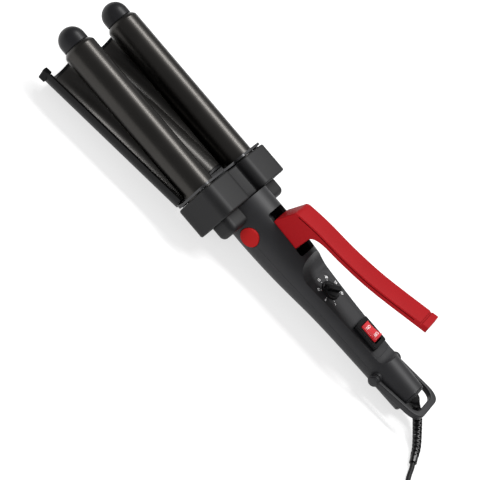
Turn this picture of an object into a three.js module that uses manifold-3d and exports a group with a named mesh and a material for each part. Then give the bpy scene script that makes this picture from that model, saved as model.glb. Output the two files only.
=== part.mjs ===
import * as THREE from 'three';
import { mergeVertices } from 'three/addons/utils/BufferGeometryUtils.js';
import Module from 'manifold-3d';

// Two-barrel hair waver with a sprung wave clamp, lying on a table as it is put down.
// Millimetres. The tool is drawn in its own frame and laid down at the end:
// x runs from the barrel tips to the cord, y to the left-hand barrel, z to the lever.
// The hinge pin's axis is x = 0, z = 0 of that frame, and y = 0 is the middle plane.

const wasm = await Module();
wasm.setup();

// Fits
const gap = 0.3;
const hairGap = 0.7;

// Barrels
const barrelRadius = 11.7;
const barrelWall = 1;
const barrelSpacing = 51.6;
const barrelReach = 120.5;
const barrelSeat = 15;
const tipRadius = 9.5;
const tipNeck = 4.6;
const tipSpigot = 9;
const shoulderLength = 2.6;
const heaterWeb = 3;

// Head
const collarBack = -20;
const collarLength = 23;
const collarSide = 2.5;
const collarHalfHeight = 17.4;
const collarCorner = 6.5;
const valleyWidth = 16;
const bridgeHalfHeight = 9.5;
const bridgeRoof = 2.5;
const bridgeInset = 0.6;
const shieldInset = 1.4;
const shieldThickness = 1.6;
const shieldGap = 0.9;
const earOuter = 32;
const earTop = 5.4;
const earBottom = -8;
const earLength = 9.4;
const earCorner = 5;
const leadRadius = 5;
const leadBite = 1.5;

// Handle
const handleBack = 149;
const neckRadius = 18.7;
const shoulderX = 34;
const shoulderRadius = 17.5;
const gripX = 72;
const gripRadius = 14.4;
const tailRadius = 12.1;
const handleWall = 2.4;
const slotFront = -3.6;
const slotBack = 32;
const slotWidth = 18;

// Controls
const panelTop = 8;
const panelThickness = 1.6;
const panelFront = 48;
const panelBack = 117;
const panelHalfWidth = 8.7;
const scoopLength = 13;
const rampLength = 6;
const dialX = 61.4;
const dialRadius = 7.1;
const dialHeight = 3.6;
const dialShaftRadius = 2;
const dialTurn = 50;
const switchX = 100;
const switchLength = 21;
const switchWidth = 15;
const switchProud = 3.6;
const rockerLength = 14.6;
const rockerWidth = 9;
const rockerThrow = 18;
const boardThickness = 1.6;
const boardTop = -2.2;

// Hinge
const pinRadius = 2.8;
const hubRadius = 7;
const hubHalfWidth = 8;
const capRadius = 7;
const capProud = 0.8;
const openAngle = 7.5;
const springWire = 0.6;
const springTurns = 4;

// Clamp
const plateThickness = 0.7;
const clampWall = 0.9;
const ridgeEase = 0.6;
const clampTip = -170;
const clampHeel = -48.2;
const endWall = 1.8;
const armHalfWidth = 8;
const armTop = 5.6;
const armBottom = -5;
const armReach = 62;
const footLength = 8;
const footHalfWidth = 27;
const footDepth = 2.6;
const cornerTab = 4;

// Lever
const leverWidth = 17;
const leverThickness = 5;
const leverSkin = 1.8;
const leverStart = 15;
const leverCrestX = 31;
const leverWaistX = 57;
const leverSwellX = 84;
const leverEnd = 125;
const leverStartTop = 34.2;
const leverCrestTop = 34.6;
const leverWaistTop = 33.6;
const leverSwellTop = 34.7;
const leverEndTop = 40.3;
const stemFront = 4;
const stemBack = 27;

// Hanging loop
const loopPivotX = 125;
const loopHalfWidth = 17.6;
const loopReach = 40;
const loopBand = 3;
const loopBar = 4.6;
const loopHeight = 4.6;
const loopEye = 4.2;
const loopTilt = 8;
const loopCorner = 10;
const loopTaper = 1.2;
const rivetRadius = 1.6;

// Cord
const cordDiameter = 3.4;
const sleeveRadius = 3.3;
const sleeveEndRadius = 2.6;
const sleeveRibs = 10;
const sleeveReach = 28.5;
const sleeveSwing = 28;
const coilLayers = 4;
const coilTurns = 3;
const coilPitch = 4;
const coilInner = 16;
const coilX = 246;
const coilY = -33;
const tieThickness = 0.9;
const tieWidth = 5;

// Plug
const plugX = 306;
const plugY = -53;
const plugLength = 24;
const reliefLength = 13;
const plugWidth = 20;
const plugDepth = 12.5;
const bladeLength = 17;
const bladeWidth = 6.3;
const bladeThickness = 1.5;
const bladeSpacing = 12.7;
const bladeRoot = 4;

// Facets
const facets = 24;
const barrelFacets = 32;
const gripRings = 9;
const cornerSteps = 3;
const waveSteps = 6;

const black = finish(0x1b1c1e, 0.55, 0);
const satin = finish(0x2a2a2c, 0.3, 0.6);
const steel = finish(0x9a9ca0, 0.35, 1);
const red = finish(0xd01a20, 0.4, 0);
const rubber = finish(0x151515, 0.8, 0);
const aluminium = finish(0xb9bbbe, 0.5, 1);
const board = finish(0x2f6b3a, 0.6, 0);
const brass = finish(0xc9a14a, 0.35, 1);

function finish(color, roughness, metalness) {
  return new THREE.MeshStandardMaterial({ color, roughness, metalness });
}

function radians(degrees) {
  return (degrees * Math.PI) / 180;
}

// Solids and meshes
function solidOf(geometry) {
  const bare = geometry.clone();
  bare.deleteAttribute('normal');
  bare.deleteAttribute('uv');
  const merged = mergeVertices(bare, 1e-3);
  const triVerts = new Uint32Array(merged.index.array);
  const vertProperties = merged.attributes.position.array;
  const made = new wasm.Manifold(new wasm.Mesh({ numProp: 3, vertProperties, triVerts }));
  if (made.volume() > 0) return made;
  for (let i = 0; i < triVerts.length; i += 3) {
    [triVerts[i + 1], triVerts[i + 2]] = [triVerts[i + 2], triVerts[i + 1]];
  }
  return new wasm.Manifold(new wasm.Mesh({ numProp: 3, vertProperties, triVerts }));
}

function geometryOf(solid) {
  const mesh = solid.getMesh();
  const geometry = new THREE.BufferGeometry();
  geometry.setAttribute('position', new THREE.BufferAttribute(mesh.vertProperties, 3));
  geometry.setIndex(new THREE.BufferAttribute(mesh.triVerts, 1));
  geometry.computeVertexNormals();
  return geometry;
}

function add(group, name, solid, material) {
  const mesh = new THREE.Mesh(geometryOf(solid), material);
  mesh.name = name;
  group.add(mesh);
  return mesh;
}

function turned(geometry, xAxis, yAxis, zAxis) {
  return geometry.applyMatrix4(new THREE.Matrix4().makeBasis(xAxis, yAxis, zAxis));
}

const unitX = new THREE.Vector3(1, 0, 0);
const unitY = new THREE.Vector3(0, 1, 0);
const unitZ = new THREE.Vector3(0, 0, 1);

// A section in y and z, run from x = low to high, its ends rounded over by an edge radius
function alongX(shape, low, high, edge = 0, steps = cornerSteps) {
  const geometry = new THREE.ExtrudeGeometry(shape, {
    depth: high - low - 2 * edge,
    bevelEnabled: edge > 0,
    bevelThickness: edge,
    bevelSize: edge,
    bevelOffset: -edge,
    bevelSegments: 2,
    curveSegments: steps,
  });
  turned(geometry, unitY, unitZ, unitX);
  return solidOf(geometry).translate([low + edge, 0, 0]);
}

// A section in x and z, run from y = -half to half
function alongY(shape, half, edge = 0) {
  const geometry = new THREE.ExtrudeGeometry(shape, {
    depth: 2 * (half - edge),
    bevelEnabled: edge > 0,
    bevelThickness: edge,
    bevelSize: edge,
    bevelOffset: -edge,
    bevelSegments: 2,
    curveSegments: cornerSteps,
  });
  turned(geometry, unitX, unitZ, unitY.clone().negate());
  return solidOf(geometry).translate([0, half - edge, 0]);
}

// A section in x and y, run from z = low to high
function alongZ(shape, low, high, edge = 0) {
  const geometry = new THREE.ExtrudeGeometry(shape, {
    depth: high - low - 2 * edge,
    bevelEnabled: edge > 0,
    bevelThickness: edge,
    bevelSize: edge,
    bevelOffset: -edge,
    bevelSegments: 2,
    curveSegments: cornerSteps,
  });
  return solidOf(geometry).translate([0, 0, low + edge]);
}

function box(x, y, z) {
  const geometry = new THREE.BoxGeometry(x[1] - x[0], y[1] - y[0], z[1] - z[0]);
  const middle = [(x[0] + x[1]) / 2, (y[0] + y[1]) / 2, (z[0] + z[1]) / 2];
  return solidOf(geometry).translate(middle);
}

// A profile of [place on the axis, radius] pairs, revolved about x, y or z
function revolved(profile, axis, sides = facets) {
  const points = profile.map(([place, radius]) => new THREE.Vector2(radius, place));
  const geometry = new THREE.LatheGeometry(points, sides);
  if (axis === 'x') turned(geometry, unitZ, unitX, unitY);
  if (axis === 'z') turned(geometry, unitY, unitZ, unitX);
  return solidOf(geometry);
}

function rod(axis, radius, low, high, sides = facets) {
  return revolved([[low, 0], [low, radius], [high, radius], [high, 0]], axis, sides);
}

function roundedBox(cx, cy, halfX, halfY, radius) {
  const shape = new THREE.Shape();
  shape.moveTo(cx - halfX + radius, cy - halfY);
  shape.absarc(cx + halfX - radius, cy - halfY + radius, radius, -Math.PI / 2, 0);
  shape.absarc(cx + halfX - radius, cy + halfY - radius, radius, 0, Math.PI / 2);
  shape.absarc(cx - halfX + radius, cy + halfY - radius, radius, Math.PI / 2, Math.PI);
  shape.absarc(cx - halfX + radius, cy - halfY + radius, radius, Math.PI, 1.5 * Math.PI);
  shape.closePath();
  return shape;
}

// A closed tube through points, with one radius for each point and flat ends
function tubeThrough(points, radii, sides) {
  const count = points.length;
  const positions = [];
  const indices = [];
  const tangents = points.map((p, i) => {
    const before = points[Math.max(i - 1, 0)];
    const after = points[Math.min(i + 1, count - 1)];
    return after.clone().sub(before).normalize();
  });
  let across = new THREE.Vector3(0, 0, 1);
  if (Math.abs(tangents[0].z) > 0.9) across = new THREE.Vector3(1, 0, 0);
  for (let i = 0; i < count; i += 1) {
    across.addScaledVector(tangents[i], -across.dot(tangents[i])).normalize();
    const up = new THREE.Vector3().crossVectors(tangents[i], across);
    for (let k = 0; k < sides; k += 1) {
      const angle = (2 * Math.PI * k) / sides;
      const rim = points[i].clone();
      rim.addScaledVector(across, radii[i] * Math.cos(angle));
      rim.addScaledVector(up, radii[i] * Math.sin(angle));
      positions.push(rim.x, rim.y, rim.z);
    }
  }
  for (let i = 0; i + 1 < count; i += 1) {
    for (let k = 0; k < sides; k += 1) {
      const a = i * sides + k;
      const b = i * sides + ((k + 1) % sides);
      indices.push(a, b, b + sides, a, b + sides, a + sides);
    }
  }
  const last = (count - 1) * sides;
  for (let k = 1; k + 1 < sides; k += 1) {
    indices.push(0, k + 1, k, last, last + k, last + k + 1);
  }
  const geometry = new THREE.BufferGeometry();
  geometry.setAttribute('position', new THREE.Float32BufferAttribute(positions, 3));
  geometry.setIndex(indices);
  return solidOf(geometry);
}

// Barrels
const collarFront = collarBack - collarLength;
const shieldBack = collarFront - shieldGap;
const shieldFront = shieldBack - shieldThickness;
const tubeTip = shieldFront - barrelReach;
const tubeHeel = collarFront + barrelSeat;
const bore = barrelRadius - barrelWall;

function barrel(side) {
  const outer = revolved([
    [tubeTip - shoulderLength, 0],
    [tubeTip - shoulderLength, tipRadius + gap],
    [tubeTip, barrelRadius],
    [tubeHeel, barrelRadius],
    [tubeHeel, 0],
  ], 'x', barrelFacets);
  const hollow = rod('x', bore, tubeTip + 2, tubeHeel + 1, barrelFacets);
  const mouthRadius = tipRadius - barrelWall + gap;
  const mouth = rod('x', mouthRadius, tubeTip - shoulderLength - 1, tubeTip + 3, barrelFacets);
  return outer.subtract(hollow).subtract(mouth).translate([0, side * barrelSpacing / 2, 0]);
}

function barrelTip(side) {
  const base = tubeTip - shoulderLength - gap;
  const domeCentre = base - tipNeck;
  const profile = [[domeCentre - tipRadius, 0]];
  for (let i = 1; i <= 6; i += 1) {
    const angle = (i / 6) * (Math.PI / 2);
    profile.push([domeCentre - tipRadius * Math.cos(angle), tipRadius * Math.sin(angle)]);
  }
  profile.push([base, tipRadius + 0.2]);
  profile.push([base, tipRadius - barrelWall]);
  profile.push([base + tipSpigot, tipRadius - barrelWall - 0.4]);
  profile.push([base + tipSpigot, 0]);
  return revolved(profile, 'x', facets + 4).translate([0, side * barrelSpacing / 2, 0]);
}

// The heater core is an aluminium cross whose four edges bear on the bore
function heaterCore(side) {
  const reach = bore - gap;
  const low = tubeTip + tipSpigot + 2;
  const high = tubeHeel - 8;
  const round = rod('x', reach, low, high, 24);
  const flat = box([low, high], [-reach, reach], [-heaterWeb, heaterWeb]);
  const fin = box([low, high], [-heaterWeb, heaterWeb], [-reach, reach]);
  return round.intersect(flat.add(fin)).translate([0, side * barrelSpacing / 2, 0]);
}

// Head
const collarHalfWidth = barrelSpacing / 2 + barrelRadius + collarSide;

function bowTie(inset, windowed) {
  const inner = valleyWidth / 2 + inset;
  const outer = collarHalfWidth - inset;
  const top = collarHalfHeight - inset;
  const corner = collarCorner - inset / 2;
  const bridge = bridgeHalfHeight - Math.min(inset, bridgeInset);
  const shape = new THREE.Shape();
  shape.moveTo(-outer + corner, -top);
  shape.absarc(-inner - corner, -top + corner, corner, -Math.PI / 2, 0);
  shape.lineTo(-inner, -bridge);
  if (windowed) {
    shape.lineTo(-windowHalfWidth, -bridge);
    shape.lineTo(-windowHalfWidth, windowTop);
    shape.lineTo(windowHalfWidth, windowTop);
    shape.lineTo(windowHalfWidth, -bridge);
  }
  shape.lineTo(inner, -bridge);
  shape.absarc(inner + corner, -top + corner, corner, Math.PI, 1.5 * Math.PI);
  shape.absarc(outer - corner, -top + corner, corner, -Math.PI / 2, 0);
  shape.absarc(outer - corner, top - corner, corner, 0, Math.PI / 2);
  shape.absarc(inner + corner, top - corner, corner, Math.PI / 2, Math.PI);
  shape.lineTo(inner, bridge);
  shape.lineTo(-inner, bridge);
  shape.absarc(-inner - corner, top - corner, corner, 0, Math.PI / 2);
  shape.absarc(-outer + corner, top - corner, corner, Math.PI / 2, Math.PI);
  shape.absarc(-outer + corner, -top + corner, corner, Math.PI, 1.5 * Math.PI);
  shape.closePath();
  return shape;
}

const windowHalfWidth = armHalfWidth + 1;
const windowTop = bridgeHalfHeight - bridgeRoof;
const windowBottom = -bridgeHalfHeight - 3.5;

function armWindow(low, high) {
  return box([low, high], [-windowHalfWidth, windowHalfWidth], [windowBottom, windowTop]);
}

function headCollar() {
  const body = alongX(bowTie(0, false), collarFront, collarBack, 1.2);
  const ears = roundedBox(0, (earTop + earBottom) / 2, earOuter, (earTop - earBottom) / 2, earCorner);
  const earBlock = alongX(ears, collarBack - 2, collarBack + earLength, 1.2);
  const neckRoom = rod('x', neckRadius + gap, collarBack, collarBack + earLength + 1);
  let made = body.add(earBlock.subtract(neckRoom));
  for (const side of [-1, 1]) {
    const seat = rod('x', barrelRadius + gap, collarFront - 1, tubeHeel + gap, barrelFacets);
    const leads = rod('x', leadRadius, tubeHeel - 1, collarBack + 1, 16);
    const leadPlace = barrelSpacing / 2 - barrelRadius - gap + leadBite - leadRadius;
    made = made.subtract(seat.translate([0, side * barrelSpacing / 2, 0]));
    made = made.subtract(leads.translate([0, side * leadPlace, 0]));
  }
  return made.subtract(armWindow(collarFront - 1, collarBack + 1));
}

function heatShield() {
  let made = alongX(bowTie(shieldInset, true), shieldFront, shieldBack);
  for (const side of [-1, 1]) {
    const hole = rod('x', barrelRadius + gap, shieldFront - 1, shieldBack + 1, barrelFacets);
    made = made.subtract(hole.translate([0, side * barrelSpacing / 2, 0]));
  }
  for (const side of [-1, 1]) {
    const foot = rod('x', 2, shieldBack - 0.5, collarFront - gap, 12);
    made = made.add(foot.translate([0, side * (collarHalfWidth - shieldInset - 3), 10]));
    made = made.add(foot.translate([0, side * (collarHalfWidth - shieldInset - 3), -10]));
  }
  return made;
}

// Handle
function gripRadii(inset) {
  const curve = new THREE.SplineCurve([
    new THREE.Vector2(collarBack + gap, neckRadius - inset),
    new THREE.Vector2(6, neckRadius - inset),
    new THREE.Vector2(shoulderX, shoulderRadius - inset),
    new THREE.Vector2(gripX, gripRadius - inset),
    new THREE.Vector2((gripX + handleBack) / 2, (gripRadius + tailRadius) / 2 - 0.3 - inset),
    new THREE.Vector2(handleBack, tailRadius - inset),
  ]);
  return curve.getPoints(gripRings).map((p) => [p.x, p.y]);
}

function gripSolid(inset, sides) {
  const radii = gripRadii(inset);
  const start = inset > 0 ? -1 : 0;
  const ends = inset > 0 ? 1 : 0;
  const first = [radii[0][0] + start, radii[0][1]];
  const last = [radii[radii.length - 1][0] + ends, radii[radii.length - 1][1]];
  const profile = [[first[0], 0], first, ...radii, last, [last[0], 0]];
  return revolved(inset > 0 ? profile : [[first[0], 0], ...radii, [last[0], 0]], 'x', sides);
}

// The flat that carries the controls, with a scooped front and a short ramp behind
function panelRecess(floor) {
  const top = neckRadius + 5;
  const shape = new THREE.Shape();
  shape.moveTo(panelFront - scoopLength, top);
  shape.lineTo(panelFront - scoopLength, shoulderRadius);
  shape.quadraticCurveTo(panelFront - scoopLength + 3, floor + 1, panelFront, floor);
  shape.lineTo(panelBack, floor);
  shape.quadraticCurveTo(panelBack + rampLength - 1, floor + 0.5, panelBack + rampLength, floor + 5.5);
  shape.lineTo(panelBack + rampLength, top);
  shape.closePath();
  return alongY(shape, neckRadius + 5);
}

const panelSeat = panelTop - panelThickness - gap;
const screwPlaces = [38.5, 124];

function handleBody() {
  const skin = gripSolid(0, barrelFacets).subtract(panelRecess(panelTop));
  const inside = gripSolid(handleWall, 16).subtract(panelRecess(panelSeat - handleWall));
  let made = skin.subtract(inside);
  const innerWall = neckRadius - handleWall;
  for (const side of [-1, 1]) {
    const low = Math.min(side * (hubHalfWidth + 1 + (side > 0 ? 4.6 : 0)), side * (innerWall + 1));
    const high = Math.max(side * (hubHalfWidth + 1 + (side > 0 ? 4.6 : 0)), side * (innerWall + 1));
    made = made.add(rod('y', hubRadius - 1, low, high, 20));
    const bossLow = Math.min(side * (tailRadius - handleWall), side * (loopHalfWidth - loopBand - gap));
    const bossHigh = Math.max(side * (tailRadius - handleWall), side * (loopHalfWidth - loopBand - gap));
    made = made.add(rod('y', loopEye, bossLow, bossHigh, 20).translate([loopPivotX, 0, 0]));
  }
  for (const place of screwPlaces) {
    const post = rod('z', 3.8, -neckRadius, neckRadius, 16).translate([place, 0, 0]);
    made = made.add(post.intersect(skin));
  }
  for (const place of [dialX - 7, switchX + 8]) {
    const ribTop = boardTop - boardThickness - gap;
    const rib = box([place - 1, place + 1], [-neckRadius, neckRadius], [-neckRadius, ribTop]);
    made = made.add(rib.intersect(skin));
  }
  return made.subtract(handleHoles());
}

function handleHoles() {
  const slot = alongZ(roundedBox((slotFront + slotBack) / 2, 0, (slotBack - slotFront) / 2, slotWidth / 2, 2),
    neckRadius / 2, neckRadius + 1);
  const plateRoom = alongZ(panelOutline(gap), panelSeat, panelTop + 1);
  let holes = slot.add(plateRoom);
  holes = holes.add(rod('z', dialShaftRadius + 1.2, 0, panelTop, 20).translate([dialX, 0, 0]));
  const body = (switchLength - 2) / 2 + gap;
  const cut = [switchX - body, switchX + body];
  holes = holes.add(box(cut, [-(switchWidth - 2) / 2 - gap, (switchWidth - 2) / 2 + gap], [0, panelTop]));
  holes = holes.add(rod('y', pinRadius + gap, -neckRadius, neckRadius, 24));
  for (const side of [-1, 1]) {
    const inner = side * (neckRadius - handleWall + 0.4);
    const outer = side * (neckRadius + 2);
    holes = holes.add(rod('y', capRadius + gap, Math.min(inner, outer), Math.max(inner, outer), 32));
  }
  holes = holes.add(rod('y', rivetRadius + gap, -neckRadius, neckRadius, 16).translate([loopPivotX, 0, 0]));
  for (const place of screwPlaces) {
    holes = holes.add(rod('z', 1.5 + gap, -neckRadius, 3, 12).translate([place, 0, 0]));
    const depth = gripDepth(place) - 3;
    holes = holes.add(rod('z', 2.8 + gap, -neckRadius - 1, -depth, 16).translate([place, 0, 0]));
  }
  return holes;
}

function gripDepth(place) {
  const radii = gripRadii(0);
  const after = radii.findIndex(([x]) => x >= place);
  const [x1, r1] = radii[after];
  const [x0, r0] = radii[after - 1];
  return r0 + ((r1 - r0) * (place - x0)) / (x1 - x0);
}

function panelOutline(grow) {
  const halfLength = (panelBack - panelFront) / 2 - 1 + grow;
  return roundedBox((panelFront + panelBack) / 2, 0, halfLength, panelHalfWidth + grow, 4);
}

function controlPanel() {
  const plate = alongZ(panelOutline(0), panelSeat + gap, panelTop);
  const body = (switchLength - 2) / 2 + gap;
  const room = box([switchX - body, switchX + body],
    [-(switchWidth - 2) / 2 - gap, (switchWidth - 2) / 2 + gap], [0, panelTop + 1]);
  const shaft = rod('z', dialShaftRadius + 1, 0, panelTop + 1, 20).translate([dialX, 0, 0]);
  return plate.subtract(room).subtract(shaft);
}

// Dial, potentiometer, rocker switch and board
function dialKnob() {
  const foot = panelTop + gap;
  const skirt = revolved([
    [foot, 0], [foot, dialRadius], [foot + 1, dialRadius - 0.2], [foot + 1.3, dialRadius - 1],
    [foot + dialHeight - 1.4, dialRadius - 1.5], [foot + dialHeight - 1.4, 0],
  ], 'z', 32);
  const grip = alongZ(roundedBox(0, 0, dialRadius - 1.4, 1.7, 1.2), foot + 0.5, foot + dialHeight + 1, 0.4);
  const socket = rod('z', dialShaftRadius + gap, foot - 1, foot + dialHeight - 1, 16);
  return skirt.add(grip).subtract(socket);
}

function dialPot() {
  const low = boardTop + gap;
  const high = panelSeat - handleWall - gap;
  const body = alongZ(roundedBox(0, 0, 6, 6, 1), low, high);
  const shaft = rod('z', dialShaftRadius, high - 1, panelTop + dialHeight - 1.4, 16);
  return body.add(shaft).translate([dialX, 0, 0]);
}

const rockerPivotZ = panelTop + 0.6;

function switchHousing() {
  const rim = alongZ(roundedBox(switchX, 0, switchLength / 2, switchWidth / 2, 1.5),
    panelTop + gap, panelTop + switchProud, 0.5);
  const body = box([switchX - (switchLength - 2) / 2, switchX + (switchLength - 2) / 2],
    [-(switchWidth - 2) / 2, (switchWidth - 2) / 2], [boardTop + gap, panelTop + 1]);
  const well = box([switchX - rockerLength / 2 - 0.8, switchX + rockerLength / 2 + 0.8],
    [-rockerWidth / 2 - gap, rockerWidth / 2 + gap], [rockerPivotZ - 5, panelTop + switchProud + 1]);
  return rim.add(body).subtract(well);
}

function rockerCap() {
  const half = rockerLength / 2;
  const shape = new THREE.Shape();
  shape.moveTo(-half, 2.4);
  shape.lineTo(-half + 0.4, 5.2);
  shape.quadraticCurveTo(0, 3.2, half - 0.4, 5.2);
  shape.lineTo(half, 2.4);
  shape.quadraticCurveTo(half - 2, -1.2, 0, -2.4);
  shape.quadraticCurveTo(-half + 2, -1.2, -half, 2.4);
  return alongY(shape, rockerWidth / 2, 0.3);
}

function controlBoard() {
  const half = 8.8;
  return box([dialX - 9, switchX + 11], [-half, half], [boardTop - boardThickness, boardTop]);
}

// Hinge pin, its red caps and the torsion spring that opens the clamp
function hingePin() {
  const half = neckRadius - handleWall;
  return rod('y', pinRadius, -half, half, 24);
}

function pinCap(side) {
  const inner = neckRadius - handleWall + gap + 0.4;
  const face = neckRadius + capProud;
  return revolved([
    [side * inner, 0], [side * inner, capRadius], [side * (face - 0.9), capRadius],
    [side * (face - 0.3), capRadius - 0.8], [side * face, capRadius - 3], [side * face, 0],
  ], 'y', 32);
}

function clampSpring() {
  const points = [];
  const radius = pinRadius + springWire + gap;
  const start = hubHalfWidth + 1.2;
  const steps = 10;
  points.push(new THREE.Vector3(-14, start, radius));
  for (let i = 0; i <= springTurns * steps; i += 1) {
    const angle = Math.PI / 2 - (2 * Math.PI * i) / steps;
    const along = start + (i / (springTurns * steps)) * 3.6;
    points.push(new THREE.Vector3(radius * Math.cos(angle), along, radius * Math.sin(angle)));
  }
  const end = points[points.length - 1];
  points.push(new THREE.Vector3(12, end.y, end.z));
  return tubeThrough(points, points.map(() => springWire * 0.55), 5);
}

// Clamp: a wave of two troughs under the barrels and one ridge between them
const half = barrelSpacing / 2;
const troughRadius = barrelRadius + hairGap;
const ridgeRadius = half - troughRadius + ridgeEase;
const ridgeCentre = -Math.sqrt((troughRadius + ridgeRadius) ** 2 - half ** 2);
const waveLean = Math.atan2(-ridgeCentre, half);

function waveTop(shape, drop) {
  shape.absarc(-half, 0, troughRadius + drop, Math.PI, 2 * Math.PI - waveLean, false);
  shape.absarc(0, ridgeCentre, ridgeRadius - drop, Math.PI - waveLean, waveLean, true);
  shape.absarc(half, 0, troughRadius + drop, Math.PI + waveLean, 2 * Math.PI, false);
}

function waveBack(shape, drop) {
  shape.absarc(half, 0, troughRadius + drop, 2 * Math.PI, Math.PI + waveLean, true);
  shape.absarc(0, ridgeCentre, ridgeRadius - drop, waveLean, Math.PI - waveLean, false);
  shape.absarc(-half, 0, troughRadius + drop, 2 * Math.PI - waveLean, Math.PI, true);
}

function wavePlate() {
  const shape = new THREE.Shape();
  waveTop(shape, 0);
  waveBack(shape, plateThickness);
  shape.closePath();
  return alongX(shape, clampTip + endWall + gap, clampHeel - endWall - gap, 0, waveSteps);
}

const seatDrop = plateThickness + gap;
const clampOuter = troughRadius + seatDrop + clampWall;
const channelHalf = half - troughRadius - seatDrop - clampWall;
const channelFloor = -clampOuter + 1.5;
const tongueTop = ridgeCentre + Math.sqrt((ridgeRadius - seatDrop) ** 2 - (armHalfWidth + gap) ** 2) - gap;

function clampBelly(shape) {
  shape.absarc(-half, 0, clampOuter, Math.PI, 1.5 * Math.PI, false);
  shape.absarc(half, 0, clampOuter, 1.5 * Math.PI, 2 * Math.PI, false);
}

function clampHousing() {
  const tub = new THREE.Shape();
  clampBelly(tub);
  const brink = -(troughRadius + seatDrop) * Math.sin(waveLean);
  tub.absarc(half, 0, troughRadius + seatDrop, 2 * Math.PI, Math.PI + waveLean, true);
  tub.lineTo(channelHalf, brink);
  tub.lineTo(channelHalf, channelFloor);
  tub.lineTo(-channelHalf, channelFloor);
  tub.lineTo(-channelHalf, brink);
  tub.absarc(-half, 0, troughRadius + seatDrop, 2 * Math.PI - waveLean, Math.PI, true);
  tub.closePath();
  const wall = new THREE.Shape();
  clampBelly(wall);
  waveBack(wall, 0);
  wall.closePath();
  let made = alongX(tub, clampTip, clampHeel, 0, waveSteps);
  made = made.add(alongX(wall, clampTip, clampTip + endWall, 0, waveSteps));
  const heel = alongX(wall, clampHeel - endWall, clampHeel, 0, waveSteps);
  const passage = box([clampHeel - 3, clampHeel + 1], [-armHalfWidth - gap, armHalfWidth + gap],
    [armBottom - gap, tongueTop + gap]);
  made = made.add(heel.subtract(passage));
  const tab = roundedBox(-half - clampOuter + 2.2, -4.5, 2.2, 4.5, 1.2);
  return made.add(alongX(tab, clampTip - cornerTab, clampTip + 1, 0.6));
}

// The aluminium block that warms the ridge
function ridgeHeater() {
  const radius = ridgeRadius - seatDrop;
  const low = clampTip + endWall + 5;
  const high = -armReach - 4;
  const crown = rod('x', radius, low, high, 32).translate([0, 0, ridgeCentre]);
  return crown.intersect(box([low, high], [-channelHalf + gap, channelHalf - gap], [-4, radius]));
}

function clampArm() {
  const beam = box([clampHeel + gap, 0], [-armHalfWidth, armHalfWidth], [armBottom, armTop]);
  const tongue = box([-armReach, clampHeel + 1], [-armHalfWidth, armHalfWidth], [armBottom, tongueTop]);
  const foot = box([-armReach, clampHeel - endWall - 1.5], [-armHalfWidth, armHalfWidth],
    [channelFloor + gap, armBottom + 1]);
  const hub = rod('y', hubRadius, -hubHalfWidth, hubHalfWidth, 28);
  const heel = box([0, stemBack], [-hubHalfWidth, hubHalfWidth], [armBottom + 1, armTop]);
  const pinHole = rod('y', pinRadius + gap, -hubHalfWidth - 1, hubHalfWidth + 1, 24);
  return beam.add(tongue).add(foot).add(hub).add(heel).subtract(pinHole);
}

function clampFoot(tilt) {
  const top = -clampOuter - gap;
  const front = clampTip + 1;
  const slope = Math.tan(radians(tilt)) * footLength;
  const shape = new THREE.Shape();
  shape.moveTo(front, top);
  shape.lineTo(front, top - footDepth);
  shape.lineTo(front + footLength, top - footDepth - slope);
  shape.lineTo(front + footLength, top);
  shape.closePath();
  return alongY(shape, footHalfWidth);
}

// Lever, squeezed towards the handle to close the clamp
function leverTop() {
  return new THREE.SplineCurve([
    new THREE.Vector2(leverStart, leverStartTop),
    new THREE.Vector2(leverCrestX, leverCrestTop),
    new THREE.Vector2(leverWaistX, leverWaistTop),
    new THREE.Vector2(leverSwellX, leverSwellTop),
    new THREE.Vector2(leverEnd, leverEndTop),
  ]);
}

function lever() {
  const top = leverTop().getPoints(16);
  const shape = new THREE.Shape();
  shape.moveTo(stemFront, armTop + gap);
  shape.lineTo(stemFront + 0.6, neckRadius - 0.4);
  shape.lineTo(stemFront + 7, leverStartTop - 2.6);
  shape.quadraticCurveTo(stemFront + 7.8, leverStartTop - 0.2, top[0].x, top[0].y);
  for (const p of top.slice(1)) shape.lineTo(p.x, p.y);
  shape.lineTo(leverEnd + 0.6, top[16].y - leverThickness);
  for (const p of top.slice(5, 16).reverse()) shape.lineTo(p.x, p.y - leverThickness);
  shape.quadraticCurveTo(stemBack + 5, leverStartTop - 4.6, stemBack + 2.6, leverStartTop - 9.2);
  shape.lineTo(stemBack, armTop + gap + 6);
  shape.lineTo(stemBack, armTop + gap);
  shape.closePath();
  const whole = alongY(shape, leverWidth / 2, 1);
  const channel = new THREE.Shape();
  channel.moveTo(top[6].x, top[6].y - leverThickness - 2);
  for (const p of top.slice(6, 16)) channel.lineTo(p.x, p.y - leverSkin);
  channel.lineTo(top[15].x, top[15].y - leverThickness - 2);
  channel.closePath();
  return whole.subtract(alongY(channel, leverWidth / 2 - leverSkin));
}

// Tail cap, cord sleeve and hanging loop
const capPlug = 4;
const capFlange = 1.8;
const sleeveNeck = 4.2;

function tailCap() {
  const inner = tailRadius - handleWall - gap;
  const face = handleBack + gap;
  const ring = revolved([
    [face - capPlug, 0], [face - capPlug, inner], [face, inner], [face, tailRadius],
    [face + capFlange - 0.8, tailRadius - 0.2], [face + capFlange, tailRadius - 1.2], [face + capFlange, 0],
  ], 'x', facets);
  return ring.subtract(rod('x', sleeveNeck + gap, face - capPlug - 1, face + capFlange + 1, 20));
}

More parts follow.
